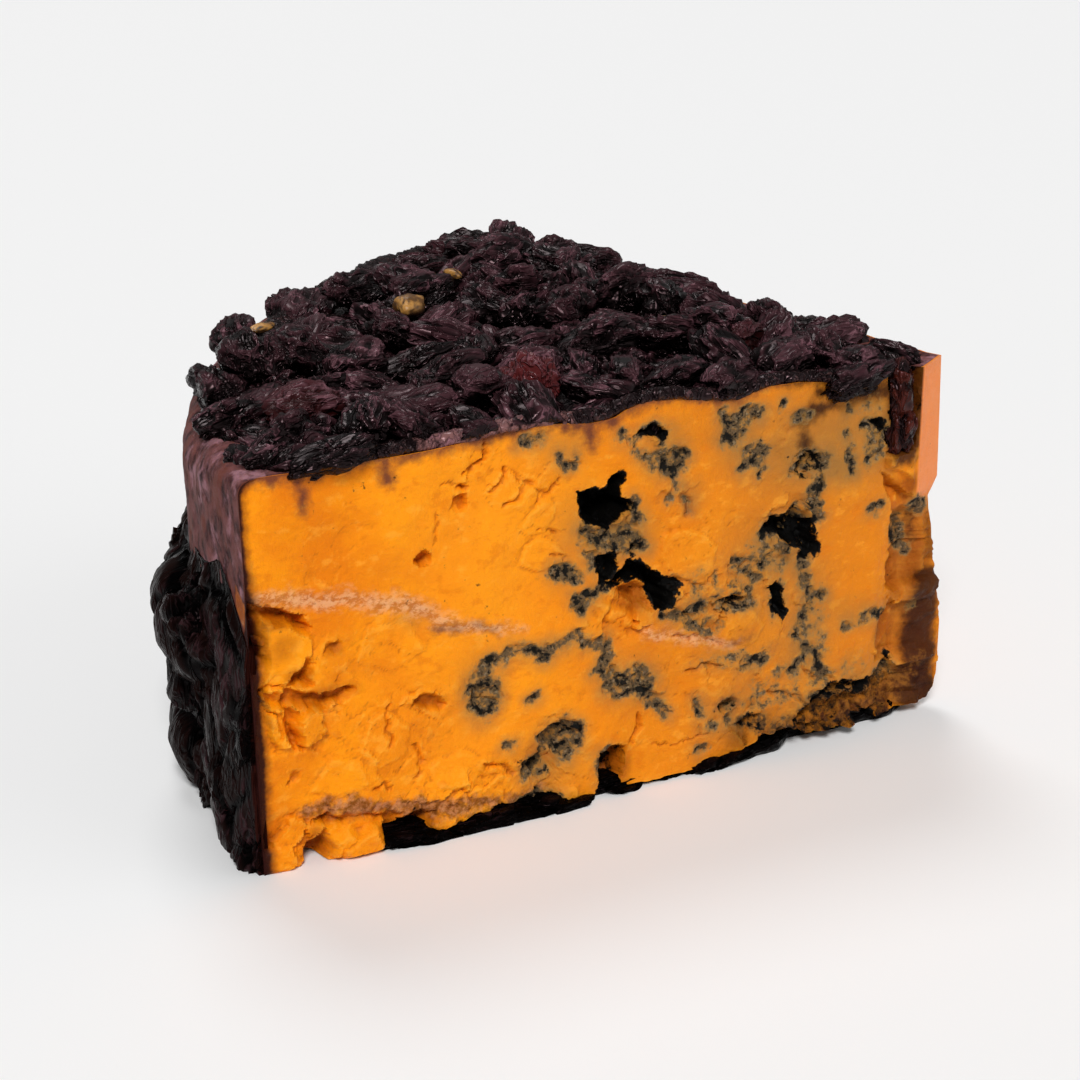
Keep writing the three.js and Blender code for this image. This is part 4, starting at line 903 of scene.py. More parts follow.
def paste_material():
    """Moist orange cheese with a tan halo round the mould, grey-green veins, stains and the dark rind,
    with painted shade in its recesses, cracks and hollows and painted light on its raised parts.
    """
    material, tree, shader = new_material("blue_cheese")
    place = add_node(tree, "ShaderNodeTexCoord").outputs["Object"]
    across = add_node(tree, "ShaderNodeSeparateXYZ", {0: place}).outputs[0]
    cloud = speckle(tree, 60, 4, 0.6)
    fine = speckle(tree, 850, 5, 0.7)
    colour = blend_colour(tree, spread(tree, cloud, 0.36, 0.64), "E87E06", "F99408")
    # Towards the right the cheese turns tan: partly its own colour, partly painted shade
    tan_and_shade = spread(tree, reckon(tree, "ADD", across, reckon(tree, "MULTIPLY", cloud, 0.03)), -0.02, 0.06)
    colour = tinted(tree, colour, tan_and_shade, "DF8014")
    middle = spread(tree, reckon(tree, "ABSOLUTE", reckon(tree, "ADD", across, 0.026)), 0.034, 0.0, 0, 0.6)
    colour = tinted(tree, colour, middle, "FF9C16")
    # Painted shade deeper in the face and painted light on the parts that stand proud
    sunk = spread(tree, stored(tree, "depth"), 0.3, 2.6)
    colour = tinted(tree, colour, sunk, "B85A08", 0.6)
    proud = spread(tree, stored(tree, "depth"), 0.1, -1.6)
    colour = tinted(tree, colour, proud, "FF9E0E", 0.4)
    curd = speckle(tree, 210, 4, 0.6, (1, 1, 1.5), 6)
    colour = tinted(tree, colour, spread(tree, curd, 0.56, 0.68, 0, 0.4), "FFAC34")
    colour = tinted(tree, colour, spread(tree, curd, 0.44, 0.32, 0, 0.5), "DE7606")
    # Painted shade in cracks and painted highlight on edges, by how far each point lies behind its
    # neighbours
    crevice = stored(tree, "crevice")
    colour = tinted(tree, colour, spread(tree, crevice, 0.02, 0.16, 0, 0.6), "B8600C")
    colour = tinted(tree, colour, spread(tree, crevice, -0.03, -0.15, 0, 0.35), "FFB23C")
    crumbs = spread(tree, fine, 0.56, 0.72, 0, 0.3)
    colour = tinted(tree, colour, crumbs, "FFA828")

    stain_grain = speckle(tree, 330, 5, 0.7, offset=2)
    stain = reckon(tree, "MULTIPLY", stored(tree, "stain"), spread(tree, cloud, 0.3, 0.6, 0.7, 1.0))
    colour = tinted(tree, colour, stain, "A6702F", 0.9)
    halo = reckon(tree, "MULTIPLY", stored(tree, "halo"), spread(tree, stain_grain, 0.34, 0.6, 0.6, 1.0))
    colour = tinted(tree, colour, halo, "946C3A", 0.8)
    # Painted shade in deep brown-orange on the broken-back faces, and the torn patch of the rind
    shade_and_tear = reckon(tree, "MULTIPLY", stored(tree, "shade_and_tear"), spread(tree, stain_grain, 0.3, 0.55, 0.6, 1.0))
    shade_and_tear_tone = blend_colour(tree, cloud, "6E3004", "B25806")
    colour = tinted(tree, colour, shade_and_tear, shade_and_tear_tone)
    scorch = stored(tree, "scorch")
    char_grain = speckle(tree, 170, 5, 0.62, offset=6)
    charred_tone = blend_colour(tree, spread(tree, char_grain, 0.46, 0.6), "120703", "B4690F")
    colour = tinted(tree, colour, scorch, charred_tone, 0.85)
    wine = edge_mask(tree, "wine", 420, 4.0, 1.6)
    wine_tone = blend_colour(tree, spread(tree, across, 0.033, 0.041), "5C2E28", "2A0D08")
    colour = tinted(tree, colour, wine, wine_tone, 0.9)
    seam = edge_mask(tree, "seam", 460, 5.0, 1.7, 0.3)
    seam_grain = spread(tree, speckle(tree, 560, 5, 0.7, (1, 1, 1.6), 4), 0.42, 0.58)
    seam_tone = blend_colour(tree, seam_grain, "A8623A", "E2B084")
    colour = tinted(tree, colour, seam, seam_tone, 0.66)
    crust = edge_mask(tree, "crust", 440, 6.5, 1.2, 0.2)
    crust_grain = spread(tree, speckle(tree, 650, 4, 0.7), 0.38, 0.66)
    light_crust = blend_colour(tree, tan_and_shade, "B47C58", "905A22")
    crust_tone = blend_colour(tree, crust_grain, "4A2412", light_crust)
    colour = tinted(tree, colour, crust, crust_tone, 0.8)
    facet = stored(tree, "facet")
    colour = tinted(tree, colour, facet, "FA9252", 0.9)

    share = stored(tree, "mould")
    clump = reckon(tree, "SUBTRACT", speckle(tree, 400, 5, 0.64, offset=9), 0.5)
    swing = reckon(tree, "MULTIPLY", clump, spread(tree, share, 0.0, 0.2, 1.0, 3.1))
    amount = reckon(tree, "ADD", reckon(tree, "MULTIPLY", share, 0.86), swing)
    tan = spread(tree, amount, 0.1, 0.62, 0, 0.78)
    colour = tinted(tree, colour, tan, blend_colour(tree, scorch, "9A7440", "8E5410"))
    mould = spread(tree, amount, 0.48, 0.74)
    mould_tone = blend_colour(tree, scorch, "5A4A36", "4A2C0E")
    colour = tinted(tree, colour, mould, mould_tone, 0.88)
    spores = spread(tree, speckle(tree, 900, 3, 0.6, offset=5), 0.55, 0.68, 0, 0.5)
    spore_tone = blend_colour(tree, scorch, "A68E6C", "A8681C")
    colour = tinted(tree, colour, mould, spore_tone, spores)
    dark_mould = blend_colour(tree, scorch, "17140F", "1A0D05")
    colour = tinted(tree, colour, spread(tree, amount, 0.79, 1.04), dark_mould)
    # Black in the hollows, partly mould and partly painted shade, and in scattered mould specks
    blackness = reckon(tree, "ADD", stored(tree, "black"), reckon(tree, "MULTIPLY", clump, 2.2))
    colour = tinted(tree, colour, spread(tree, blackness, 0.36, 0.6), "050403")

    streak = speckle(tree, 300, 4, 0.6, (1, 1, 0.8))
    mottle = speckle(tree, 130, 5, 0.62, (1, 1, 0.8), 3)
    rind_tone = blend_colour(tree, spread(tree, streak, 0.3, 0.66), "2A1214", "744644")
    rind_tone = tinted(tree, rind_tone, spread(tree, mottle, 0.52, 0.64, 0, 0.7), "6E3A2E")
    rind_tone = tinted(tree, rind_tone, spread(tree, mottle, 0.48, 0.36, 0, 0.85), "A0727A")
    rind = edge_mask(tree, "rind", 320, 2.0, 0.3, 0.35)
    colour = tinted(tree, colour, rind, rind_tone)
    outer_collar = edge_mask(tree, "collar", 300, 3.0, 1.0, 0.5)
    colour = tinted(tree, colour, outer_collar, "6A2E0A", 0.7)
    collar = edge_mask(tree, "collar", 300, 2.0, 0.45, -0.5)
    colour = tinted(tree, colour, collar, "260604", 0.96)

    dry = reckon(tree, "MAXIMUM", rind, reckon(tree, "MAXIMUM", mould, crust))
    base_rough = spread(tree, speckle(tree, 300, 3), 0.3, 0.7, 0.38, 0.55)
    rough = reckon(tree, "ADD", base_rough, reckon(tree, "MULTIPLY", dry, 0.22))
    grain = reckon(tree, "ADD", speckle(tree, 420, 5, 0.65), reckon(tree, "MULTIPLY", fine, 0.6))
    pitted = reckon(tree, "SUBTRACT", grain, reckon(tree, "MULTIPLY", mould, 0.35))
    lined = reckon(tree, "ADD", pitted, reckon(tree, "MULTIPLY", rind, streak))
    fill_inputs(tree, shader, {
        "Base Color": colour, "Roughness": rough, "Normal": bump_of(tree, lined, 0.6, 0.0008),
        "Subsurface Weight": 0.1, "Subsurface Radius": (1.0, 0.4, 0.08), "Subsurface Scale": 0.002,
        "Specular IOR Level": 0.1})
    return material


paste.data.materials.append(paste_material())


# ---------------------------------------------------------------------------------------------
# The raisins on the top. Dried fruit pressed into the cheese: each one is a ball of skin that
# has shrunk into folds along its length. The largest lie along the front and round the crown.
# ---------------------------------------------------------------------------------------------
TOP_PITCH = 11.4
SMALL_PITCH = 8.6
ROW_STEP = 0.866
CARPET_SIDE = 16
SMALL_SIDE = 21
RAISIN_HALF_LENGTH = 6.4
BED_TOP = 79.6
RIM_MARGIN = 12.0
EDGE_MARGIN = 3.2
RAISIN_SIDES = 16
# Large raisins: x, y, z, half length, girth, turn in degrees, tone from near black to red
LARGE_RAISINS = [
    (25, 51.5, 85.4, 7.4, 1.1, 80, 0.2), (29, 66, 84.8, 6.2, 1.1, 60, 0.3),
    (34.5, 53, 84.6, 6.6, 1, 90, 0.25), (16.6, 50.5, 82.4, 6.6, 1, 75, 0.15),
    (41, 42, 84.4, 7.2, 1, 30, 0.35), (11.5, 30, 80.2, 6.4, 0.9, 20, 0.5),
    (22.5, 23, 82, 6.8, 1, 10, 0.8), (10.5, 8.5, 79, 6.2, 0.9, 20, 0.55),
    (18.4, 0.9, 80.2, 7.8, 0.6, 2, 0.1), (29.7, 10.8, 81.2, 6.6, 1, 60, 0.2),
    (36.5, 7.4, 80.8, 6, 0.95, 100, 0.6), (61.5, 86.5, 86, 6.4, 1.1, 30, 0.4),
    (55.7, 57.3, 85.4, 6.2, 1, 80, 0.7), (74, 78, 86, 7.4, 1, 20, 0.6),
    (53.6, 40.4, 83.6, 7.4, 0.6, 10, 0.1), (47.2, 21.4, 82.2, 4.8, 1, 60, 0.6),
    (55.7, 15.4, 82, 5.6, 1.1, 30, 0.6), (65.7, 15.4, 82.4, 5.8, 1.15, 70, 0.95),
    (67, 39.6, 84, 5.6, 1, 70, 0.5), (56.4, 28.5, 83, 6.8, 0.8, 20, 0.7),
    (83, 66.4, 85.6, 6.6, 1, 110, 0.4), (88.5, 60, 84.4, 6, 1, 40, 0.05),
    (94, 55, 85.6, 6.6, 1, 100, 0.6), (89.5, 32, 84.4, 7.8, 1, 15, 0.6),
    (77, 7.6, 82, 6.2, 0.85, 140, 0.65), (83, 8.5, 82.2, 5.6, 1, 60, 0.6),
    (79.5, 40, 83.2, 6.8, 0.9, 0, 0.3), (100.5, 92, 86.2, 7.6, 1, 10, 0.5),
    (107.5, 85, 86.2, 6.2, 1, 100, 0.4), (113, 82, 86.4, 4.6, 1.1, 30, 0.6),
    (114, 63.5, 85.4, 7, 1, 20, 0.55), (117.5, 52, 85.4, 6.8, 0.9, 60, 0),
    (104.5, 29.5, 83.8, 6.2, 1, 150, 0.35), (94, 9, 80.8, 7.6, 0.8, 10, 0.1),
    (114, 28, 83.6, 7.2, 1, 100, 0.6), (118, 21, 82.8, 5.4, 1, 20, 0.8),
    (104.5, 4.8, 80.2, 6.8, 0.75, 30, 0.5), (118.5, 8.4, 81.4, 6.6, 1, 20, 0.5),
    (128, 11.5, 80.4, 6.6, 1, 60, 0.6), (134.5, 5.4, 78.8, 5.6, 0.9, 20, 0.6),
    (145, 8.6, 78, 6.6, 0.6, 100, 0.3), (131.6, 0.8, 77.8, 7.6, 0.72, 2, 0.2),
    (130.7, 31.5, 82.6, 6.6, 1, 60, 0.55),
]
CLEAR_OF_LARGE = 8.0
# The raisins' numbers, which their shapes come from, start here in each group
LARGE_FIRST = 480
SECOND_FIRST = 500
SMALL_FIRST = 2000


def draw(index, channel):
    """A repeatable number from 0 to 1: the fraction of a large sine."""
    wave = np.sin(np.asarray(index) * 12.9898 + channel * 78.233) * 43758.5453
    return wave - np.floor(wave)


def inside_distances(x, y):
    """Distance of a plan point inside the rim and inside the back cut."""
    rim = WALL_RADIUS - np.hypot(x - WHEEL[0], y - WHEEL[1])
    behind = (TIP_BACK[0] - x) * math.sin(BACK_CUT_ANGLE) - (y - TIP_BACK[1]) * math.cos(BACK_CUT_ANGLE)
    return rim, behind


def heap_lift(x, y):
    """Height of the heap over its bed: a crown towards the back, lower at the tip and the front."""
    crown = 1.0 * np.exp(-((x - 98) / 34) ** 2 - ((y - 80) / 28) ** 2)
    crown = crown - 2.6 * np.exp(-((x - 44) / 8) ** 2 - ((y - 86) / 9) ** 2)
    crown = crown + 1.6 * np.exp(-((x - 114) / 8) ** 2 - ((y - 98) / 9) ** 2)
    return crown - 1.8 * ease(20, 60, y) - 2.2 * ease(112, 142, x) - 0.8 * (1 - ease(0, 12, y))


def columns(*values):
    """Arrays and single numbers side by side as the columns of one table."""
    return np.stack(np.broadcast_arrays(*values), -1)


def raisin_sizes(index, scale, flat):
    """Half sizes of raisins from their numbers: length, breadth and thickness."""
    length = RAISIN_HALF_LENGTH * (0.84 + 0.44 * draw(index, 11)) * scale
    return columns(length, length * (0.66 + 0.3 * draw(index, 12)),
                   length * (0.52 + 0.16 * draw(index, 13)) * flat)


def turned(roll, pitch, yaw):
    """Rotation matrices: about X by roll, after Y by pitch, after Z by yaw."""
    zero, one = np.zeros_like(roll), np.ones_like(roll)
    cr, sr, cp, sp = np.cos(roll), np.sin(roll), np.cos(pitch), np.sin(pitch)
    cy, sy = np.cos(yaw), np.sin(yaw)
    about_x = np.stack([one, zero, zero, zero, cr, -sr, zero, sr, cr], -1).reshape(-1, 3, 3)
    about_y = np.stack([cp, zero, sp, zero, one, zero, -sp, zero, cp], -1).reshape(-1, 3, 3)
    about_z = np.stack([cy, -sy, zero, sy, cy, zero, zero, zero, one], -1).reshape(-1, 3, 3)
    return about_x @ about_y @ about_z


def raisin_turns(index):
    """Turn of each raisin from its number."""
    return turned(1.9 * (draw(index, 15) - 0.5), 1.2 * (draw(index, 16) - 0.5), math.pi * draw(index, 14))


def jittered(side, first, pitch, start, jitter):
    """Numbers and places on a square of rows and columns, every other row half a pitch along and
    each place moved at random by up to half the jitter each way."""
    row, column = np.meshgrid(np.arange(side), np.arange(side), indexing="ij")
    index = (first + row * side + column).ravel()
    x = (start[0] + column * pitch + (row % 2) * pitch / 2).ravel() + jitter * (draw(index, 1) - 0.5)
    y = start[1] + (row * pitch * ROW_STEP).ravel() + jitter * (draw(index, 2) - 0.5)
    return index, x, y


def top_spots():
    """Numbers, places, scales and flatness of the carpet and the second layer on the crown."""
    index, x, y = jittered(CARPET_SIDE, 0, TOP_PITCH, (2, 4), 3.4)
    rim, behind = inside_distances(x, y)
    keep = (rim > RIM_MARGIN) & (behind > EDGE_MARGIN) & (y > EDGE_MARGIN) & (x < 148)
    height = BED_TOP + heap_lift(x, y) + 1.6 * (draw(index, 5) - 0.6)
    carpet = columns(index, x, y, height, 1, 1)[keep]
    extra = np.arange(17)
    x = 92 + 7.4 * np.sqrt(extra) * np.cos(extra * 2.4) * 1.25
    y = 82 + 7.4 * np.sqrt(extra) * np.sin(extra * 2.4) * 0.95
    rim, behind = inside_distances(x, y)
    keep = (rim > 20) & (behind > 10) & (y > 30)
    second = columns(SECOND_FIRST + extra, x, y, BED_TOP + 3.6 + heap_lift(x, y), 0.9, 0.95)[keep]
    spots = np.concatenate([carpet, second])
    large = np.array(LARGE_RAISINS)[:, :2]
    gap = np.min(np.linalg.norm(spots[:, None, 1:3] - large[None], axis=-1), 1)
    return spots[gap > CLEAR_OF_LARGE]


def ball(sides):
    """A cube of sides by sides faces a side, blown up to a ball: points and faces, seams merged."""
    step = np.tan(np.linspace(-1, 1, sides + 1) * math.pi / 4)
    u, v = np.meshgrid(step, step, indexing="ij")
    one = np.ones_like(u)
    walls = [(one, u, v), (-one, v, u), (v, one, u), (u, -one, v), (u, v, one), (v, u, -one)]
    points = np.stack([np.stack(wall, -1) for wall in walls]).reshape(-1, 3)
    points = points / np.linalg.norm(points, axis=1, keepdims=True)
    corner = np.arange((sides + 1) ** 2).reshape(sides + 1, sides + 1)
    face = np.stack([corner[:-1, :-1], corner[1:, :-1], corner[1:, 1:], corner[:-1, 1:]], -1).reshape(-1, 4)
    faces = np.concatenate([face + i * (sides + 1) ** 2 for i in range(6)])
    merged, place = np.unique(np.round(points, 5), axis=0, return_inverse=True)
    return merged / np.linalg.norm(merged, axis=1, keepdims=True), place.ravel()[faces]


def wrinkled(directions, index, depth=1.0):
    """Radius and fold of the skin for each raisin and direction: broad dents, three sides that
    have sunk in, folds drawn out along the length (a fold is one minus the distance of noise from
    its middle) and two creases."""
    shift = np.stack([index * 3.17, index * 1.31, index * 7.77], -1)[:, None, :]
    dents = noise(directions[None] * 1.15 + shift, 300)
    bend = noise(directions[None] * 1.7 + shift + 40, 305)[..., None] * 1.5
    long_way = directions[None] * np.array([1.1, 2.3, 2.3]) + shift + bend * 1.2
    ridge = ridged(noise(long_way, 310))
    finer = ridged(noise(long_way * 2.1 + 9, 320))
    fold = 0.72 * ridge ** 1.8 + 0.28 * finer ** 1.8
    crease = 0
    for side in (0, 1):
        lie = 2 * math.pi * draw(index, 31 + side)[:, None]
        across = directions[None, :, 1] * np.cos(lie) + directions[None, :, 2] * np.sin(lie)
        facing = directions[None, :, 2] * np.cos(lie) - directions[None, :, 1] * np.sin(lie)
        bent = across + 0.25 * np.sin(3 * directions[None, :, 0] + 6 * draw(index, 33 + side)[:, None])
        crease = crease + np.exp(-(bent / 0.14) ** 2) * ease(0.1, 0.6, facing)
    sunk = 0
    for side in range(3):
        lie, tilt = 2 * math.pi * draw(index, 41 + side), 1.2 * (draw(index, 44 + side) - 0.5)
        way = np.stack([np.sin(tilt), np.cos(tilt) * np.cos(lie), np.cos(tilt) * np.sin(lie)], -1)
        sunk = sunk + ease(0.45, 1.0, np.einsum("vi,ni->nv", directions, way))
    radius = 1.0 + 0.4 * (dents - 0.5) - 0.3 * depth * sunk + depth * (0.42 * (fold - 0.38) - 0.17 * crease)
    # Painted shade: the fold that sets the skin's painting is lowered in creases and sunk sides
    return radius, fold * (1 - 0.6 * np.clip(crease, 0, 1)) * (1 - 0.3 * np.clip(sunk, 0, 1))


def raisin_cloud(spots, half, turns, template, depth=1.0, size=1.12, tone=None, outward=(0, 0, 1)):
    """All raisins at once: wrinkled balls scaled by their half sizes, turned and set in place. The
    fold, which sets how light the skin is painted, fades on the side that faces away from outward,
    deep in the heap, as painted shade."""
    directions, faces = template
    index = spots[:, 0]
    radius, fold = wrinkled(directions, index, depth)
    local = directions[None] * half[:, None, :] * radius[..., None] * size
    around = np.einsum("nij,nvj->nvi", turns, local)
    points = around + spots[:, None, 1:4]
    offset = np.arange(len(spots))[:, None, None] * len(directions)
    tone = draw(index, 21) * 0.78 if tone is None else tone
    tone = np.repeat(tone[:, None], len(directions), 1)
    outward = np.broadcast_to(np.asarray(outward, float), (len(spots), 3))
    facing = np.einsum("nvi,ni->nv", around / np.linalg.norm(around, axis=-1, keepdims=True), outward)
    # Painted shade: darker on the side that faces away from outward, deep in the heap
    fold = fold * (0.1 + 0.9 * ease(-0.5, 0.7, facing))
    skin = local * np.array([0.3, 1, 1]) + 13.7 * index[:, None, None]
    return points, faces[None] + offset, {"fold": fold, "tone": tone, "skin": skin}


def behind_cut(points):
    """Keeps the heap from hanging over the two cuts: below the cheese's top edge the points lie
    behind its faces, above it at most a millimetre in front."""
    border = hem(points[..., 0]) - 0.8 + 1.2 * layered(points * np.array([1, 1, 0]) / 6, 2, 430)
    least = 1.8 - 2.8 * ease(0, 1.4, points[..., 2] - border)
    points[..., 1] = np.maximum(points[..., 1], least)
    behind = inside_distances(points[..., 0], points[..., 1])[1]
    points[..., :2] -= BACK_OUTWARD * np.maximum(least - behind, 0)[..., None]
    return points


def add_raisins(name, cloud, node, material):
    """Makes one piece from a cloud of raisins, hangs it under the root and hides the part it stands in for.
    """
    points, faces, values = cloud
    piece = add_piece(name, points.reshape(-1, 3), faces.reshape(-1, 4).tolist(), values, 180)
    piece.data.materials.append(material)
    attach(piece, "root")
    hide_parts(node)


def raisin_material(name, dark, ridge, red, gloss, sheen_share=0.7):
    """Wrinkled glossy skin, a few reddish, with painted light and shade: near black in the folds and deep
    in the heap, mauve-brown on the ridges, and a painted mauve sheen on the fine wrinkles along each
    raisin."""
    material, tree, shader = new_material(name)
    skin = add_node(tree, "ShaderNodeAttribute", attribute_name="skin").outputs["Vector"]
    field = add_node(tree, "ShaderNodeTexNoise", {
        "Vector": skin, "Scale": 0.5, "Detail": 1.5, "Roughness": 0.5, "Distortion": 1.0}).outputs["Fac"]
    off_middle = reckon(tree, "ABSOLUTE", reckon(tree, "SUBTRACT", field, 0.5))
    line = spread(tree, off_middle, 0.10, 0.0, smooth=False)
    tone = stored(tree, "tone")
    height = reckon(tree, "ADD", stored(tree, "fold"), reckon(tree, "MULTIPLY", line, 0.24))
    # Painted light and shade: the skin is lighter where the fold is high and darker in the folds
    lit = spread(tree, reckon(tree, "ADD", height, reckon(tree, "MULTIPLY", tone, 0.2)), 0.46, 0.98)
    colour = blend_colour(tree, lit, dark, ridge)
    colour = tinted(tree, colour, spread(tree, tone, 0.72, 0.95, 0, 0.7), red)
    # Painted sheen in mauve along the fine wrinkles where the skin is painted light
    painted_sheen = spread(tree, speckle(tree, 110, 3, 0.5), 0.46, 0.66, 0, sheen_share)
    painted_sheen = reckon(tree, "MULTIPLY", reckon(tree, "MULTIPLY", painted_sheen, line), lit)
    colour = tinted(tree, colour, painted_sheen, "8C606A")
    relief = reckon(tree, "ADD", line, reckon(tree, "MULTIPLY", speckle(tree, 420, 2, 0.5), 0.3))
    fill_inputs(tree, shader, {
        "Base Color": colour, "Roughness": spread(tree, speckle(tree, 200, 3), 0.35, 0.65, 0.2, 0.38),
        "Normal": bump_of(tree, relief, 0.9, 0.0007), "Specular IOR Level": gloss,
        "Specular Tint": (0.9, 0.58, 0.62, 1)})
    return material


top_skin = raisin_material("raisin_skin", "020101", "3E2429", "5A1E1E", 0.24)
BALL = ball(RAISIN_SIDES)
spots = top_spots()
half = raisin_sizes(spots[:, 0], spots[:, 4], spots[:, 5])
cloud = raisin_cloud(spots, half, raisin_turns(spots[:, 0]), ball(14))
cloud = (behind_cut(cloud[0]), *cloud[1:])
add_raisins("top_raisins_carpet", cloud, "top_raisins", top_skin)

large = np.array(LARGE_RAISINS, float)
large[:, 2] -= 2.6 * ease(12, 50, large[:, 1])
index = LARGE_FIRST + np.arange(len(large))
spots = columns(index, *large[:, :3].T)
length, girth = large[:, 3], large[:, 4]
half = columns(length, length * girth * (0.76 + 0.12 * draw(index, 12)),
               length * girth * (0.62 + 0.1 * draw(index, 13)))
large_turns = turned(0.5 * (draw(index, 15) - 0.5), 0.4 * (draw(index, 16) - 0.5), np.radians(large[:, 5]))
cloud = raisin_cloud(spots, half, large_turns, BALL, 1, 1.04, large[:, 6])
hangs = large[:, 1] < 1
cloud = (np.where(hangs[:, None, None], cloud[0], behind_cut(cloud[0].copy())), *cloud[1:])
add_raisins("top_raisins_large", cloud, "top_raisins", top_skin)


def filler_spots():
    """Small raisins in the gaps of the carpet, a little lower: a second, finer jittered lattice."""
    index, x, y = jittered(SMALL_SIDE, SMALL_FIRST, SMALL_PITCH, (4, 3.4), 3)
    rim, behind = inside_distances(x, y)
    keep = (rim > 5.5 + 4 * ease(20, 60, y)) & (behind > 3) & (y > 2.6) & (x < 145)
    lower = 76.8 + 0.5 * heap_lift(x, y) - 0.8 * (1 - ease(6, 12, rim))
    return columns(index, x, y, lower)[keep]


spots = filler_spots()
half = raisin_sizes(spots[:, 0], 0.62, 1.1)
cloud = raisin_cloud(spots, half, raisin_turns(spots[:, 0]), ball(9), 0.9, 1.2, 0.3 * draw(spots[:, 0], 21))
cloud = (behind_cut(cloud[0]), *cloud[1:])
add_raisins("top_raisins_small", cloud, "top_raisins", top_skin)


LIP_FOLDS = np.array([1.7, 3.2, 3.6])
# Rows of the bed from its foot to its middle: how far in from the wedge's outline, and height
BED_ROWS = [
    (3, 77.0), (0.6, 77.4), (0.1, 77.8), (-0.2, 78.2), (-0.3, 78.6), (-0.1, 79.0), (0.4, 79.4),
    (1.1, 79.7), (1.9, 79.8), (2.8, 79.7), (4.2, 79.2), (6.5, 78.6), (10, 78.4), (20, 78.4),
]


def bed_grid():
    """The pressed layer under the raisins and its purple lip along the cut: the wedge's outline,
    drawn in and lifted row by row, then pushed out and in by layered noise."""
    rows = []
    for inset, z in BED_ROWS:
        run = np.arange(260) / 260
        start_x = 13 + max(inset, 0)
        front = np.stack([start_x + (140 - start_x) * run, np.maximum(inset, -0.4) + 0 * run], -1)
        run = np.arange(110) / 110
        start = np.array([141.0, 6.5])
        end = BACK_CORNER - BACK_OUTWARD * 3 - BACK_DIRECTION * 6
        back = start + (end - start) * run[:, None] - BACK_OUTWARD * inset * run[:, None]
        run = np.arange(200) / 200
        angle = BACK_CORNER_ANGLE * 0.95 + (math.radians(5.5) - BACK_CORNER_ANGLE * 0.95) * run
        rim = on_wheel(angle, WALL_RADIUS - max(inset, 0) - 7 - 6 * run)
        plan = np.concatenate([front, back, rim])
        height = z + (hem(plan[:, 0]) - PASTE_HEIGHT) * (1 - ease(1, 8, plan[:, 1]))
        rows.append(np.concatenate([plan, height[:, None]], -1))
    grid = np.stack(rows)
    crinkle = ridged(layered(grid / LIP_FOLDS, 3, 400))
    lumps = 1.3 * (crinkle - 0.6) + 0.6 * (noise(grid / 6.5, 405) - 0.5)
    away = grid - np.array([95, 55, 80])
    away = away / np.linalg.norm(away[..., :2], axis=-1, keepdims=True)
    away[..., 2] = 0.8
    moved = grid + away * lumps[..., None] * 1.5
    moved[..., 1] = np.maximum(moved[..., 1], -1.0)
    return moved


points, faces = closed_tube(bed_grid())
at_edge = (1 - ease(0.5, 4.5, points[:, 1])) * ease(33, 40, points[:, 0]) * (1 - ease(62, 70, points[:, 0]))
grain = ridged(layered(points / LIP_FOLDS, 3, 400))
bed_values = {"fold": grain ** 1.6 * (0.4 + 1.1 * at_edge), "tone": 0.3 * grain,
              "skin": points * np.array([1, 1, 0.5])}
bed = add_piece("top_raisin_bed", points, faces, bed_values, 180)
bed.data.materials.append(raisin_material("pressed_fruit", "0E0708", "7A5452", "5A302C", 0.3))
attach(bed, "root")
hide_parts("top_raisins")


# ---------------------------------------------------------------------------------------------
# Pale bits among the top raisins: an amber sultana and a few tan ends of stalk, stuck in the heap.
# ---------------------------------------------------------------------------------------------
PALE_FIRST = 560
PALE_BITS = [
    (66, 67, 84.8, 4, 0.8, 30), (83.8, 83.5, 85.2, 2.8, 0.5, 100), (31, 62, 86, 3.2, 0.4, 20),
    (106.7, 33.9, 84.4, 2.6, 0.5, 10),
]


def pale_fruit_material():
    """Amber flesh, browner in clouds, with painted shade in the creases and underneath, and a soft gloss.
    """
    material, tree, shader = new_material("pale_fruit")
    cloud = spread(tree, speckle(tree, 330, 4, 0.6), 0.4, 0.62)
    colour = blend_colour(tree, cloud, "5E3C14", "B88440")
    # Painted shade where the fold is low
    colour = tinted(tree, colour, spread(tree, stored(tree, "fold"), 0.35, 0.1), "3A2410")
    fill_inputs(tree, shader, {
        "Base Color": colour, "Roughness": spread(tree, speckle(tree, 400, 3), 0.35, 0.65, 0.3, 0.5),
        "Normal": bump_of(tree, speckle(tree, 900, 4), 0.5, 0.0005),
        "Subsurface Weight": 0.1, "Subsurface Radius": (1.0, 0.5, 0.2), "Subsurface Scale": 0.001})
    return material


x, y, z, length, girth, yaw = np.array(PALE_BITS, float).T
spots = columns(PALE_FIRST + np.arange(len(x)), x, y, z)
half = columns(length, length * girth, length * girth * 0.8)
cloud = raisin_cloud(spots, half, turned(0 * yaw, 0 * yaw, np.radians(yaw)), ball(8), 0.4, 1)
add_raisins("pale_fruit_bits", cloud, "top_raisins", pale_fruit_material())


# ---------------------------------------------------------------------------------------------
# The raisins on the rind. They lie lengthwise up the wall in two swollen rows, pressed together
# into a dark skin, and are cut off level with the cheese at both ends.
# ---------------------------------------------------------------------------------------------
SIDE_PITCH = 16.4
SIDE_ROWS = (7, 18, 31, 39)
SIDE_FIRST = 700
# Swollen masses of fruit on the rind: angle in degrees, height, half width in degrees, half
# height, how far it stands off
SIDE_MASSES = [
    (19, 37.5, 10.5, 11, 7), (24.5, 9, 10, 13, 6.8), (8.5, 18, 6.5, 24, 3.2), (37, 37, 7.5, 12, 6.6),
    (41, 12, 8.5, 14, 6), (52, 35, 8.5, 15, 6.4), (58, 12, 9, 14, 5.6), (67, 34, 8, 16, 4.6),
]


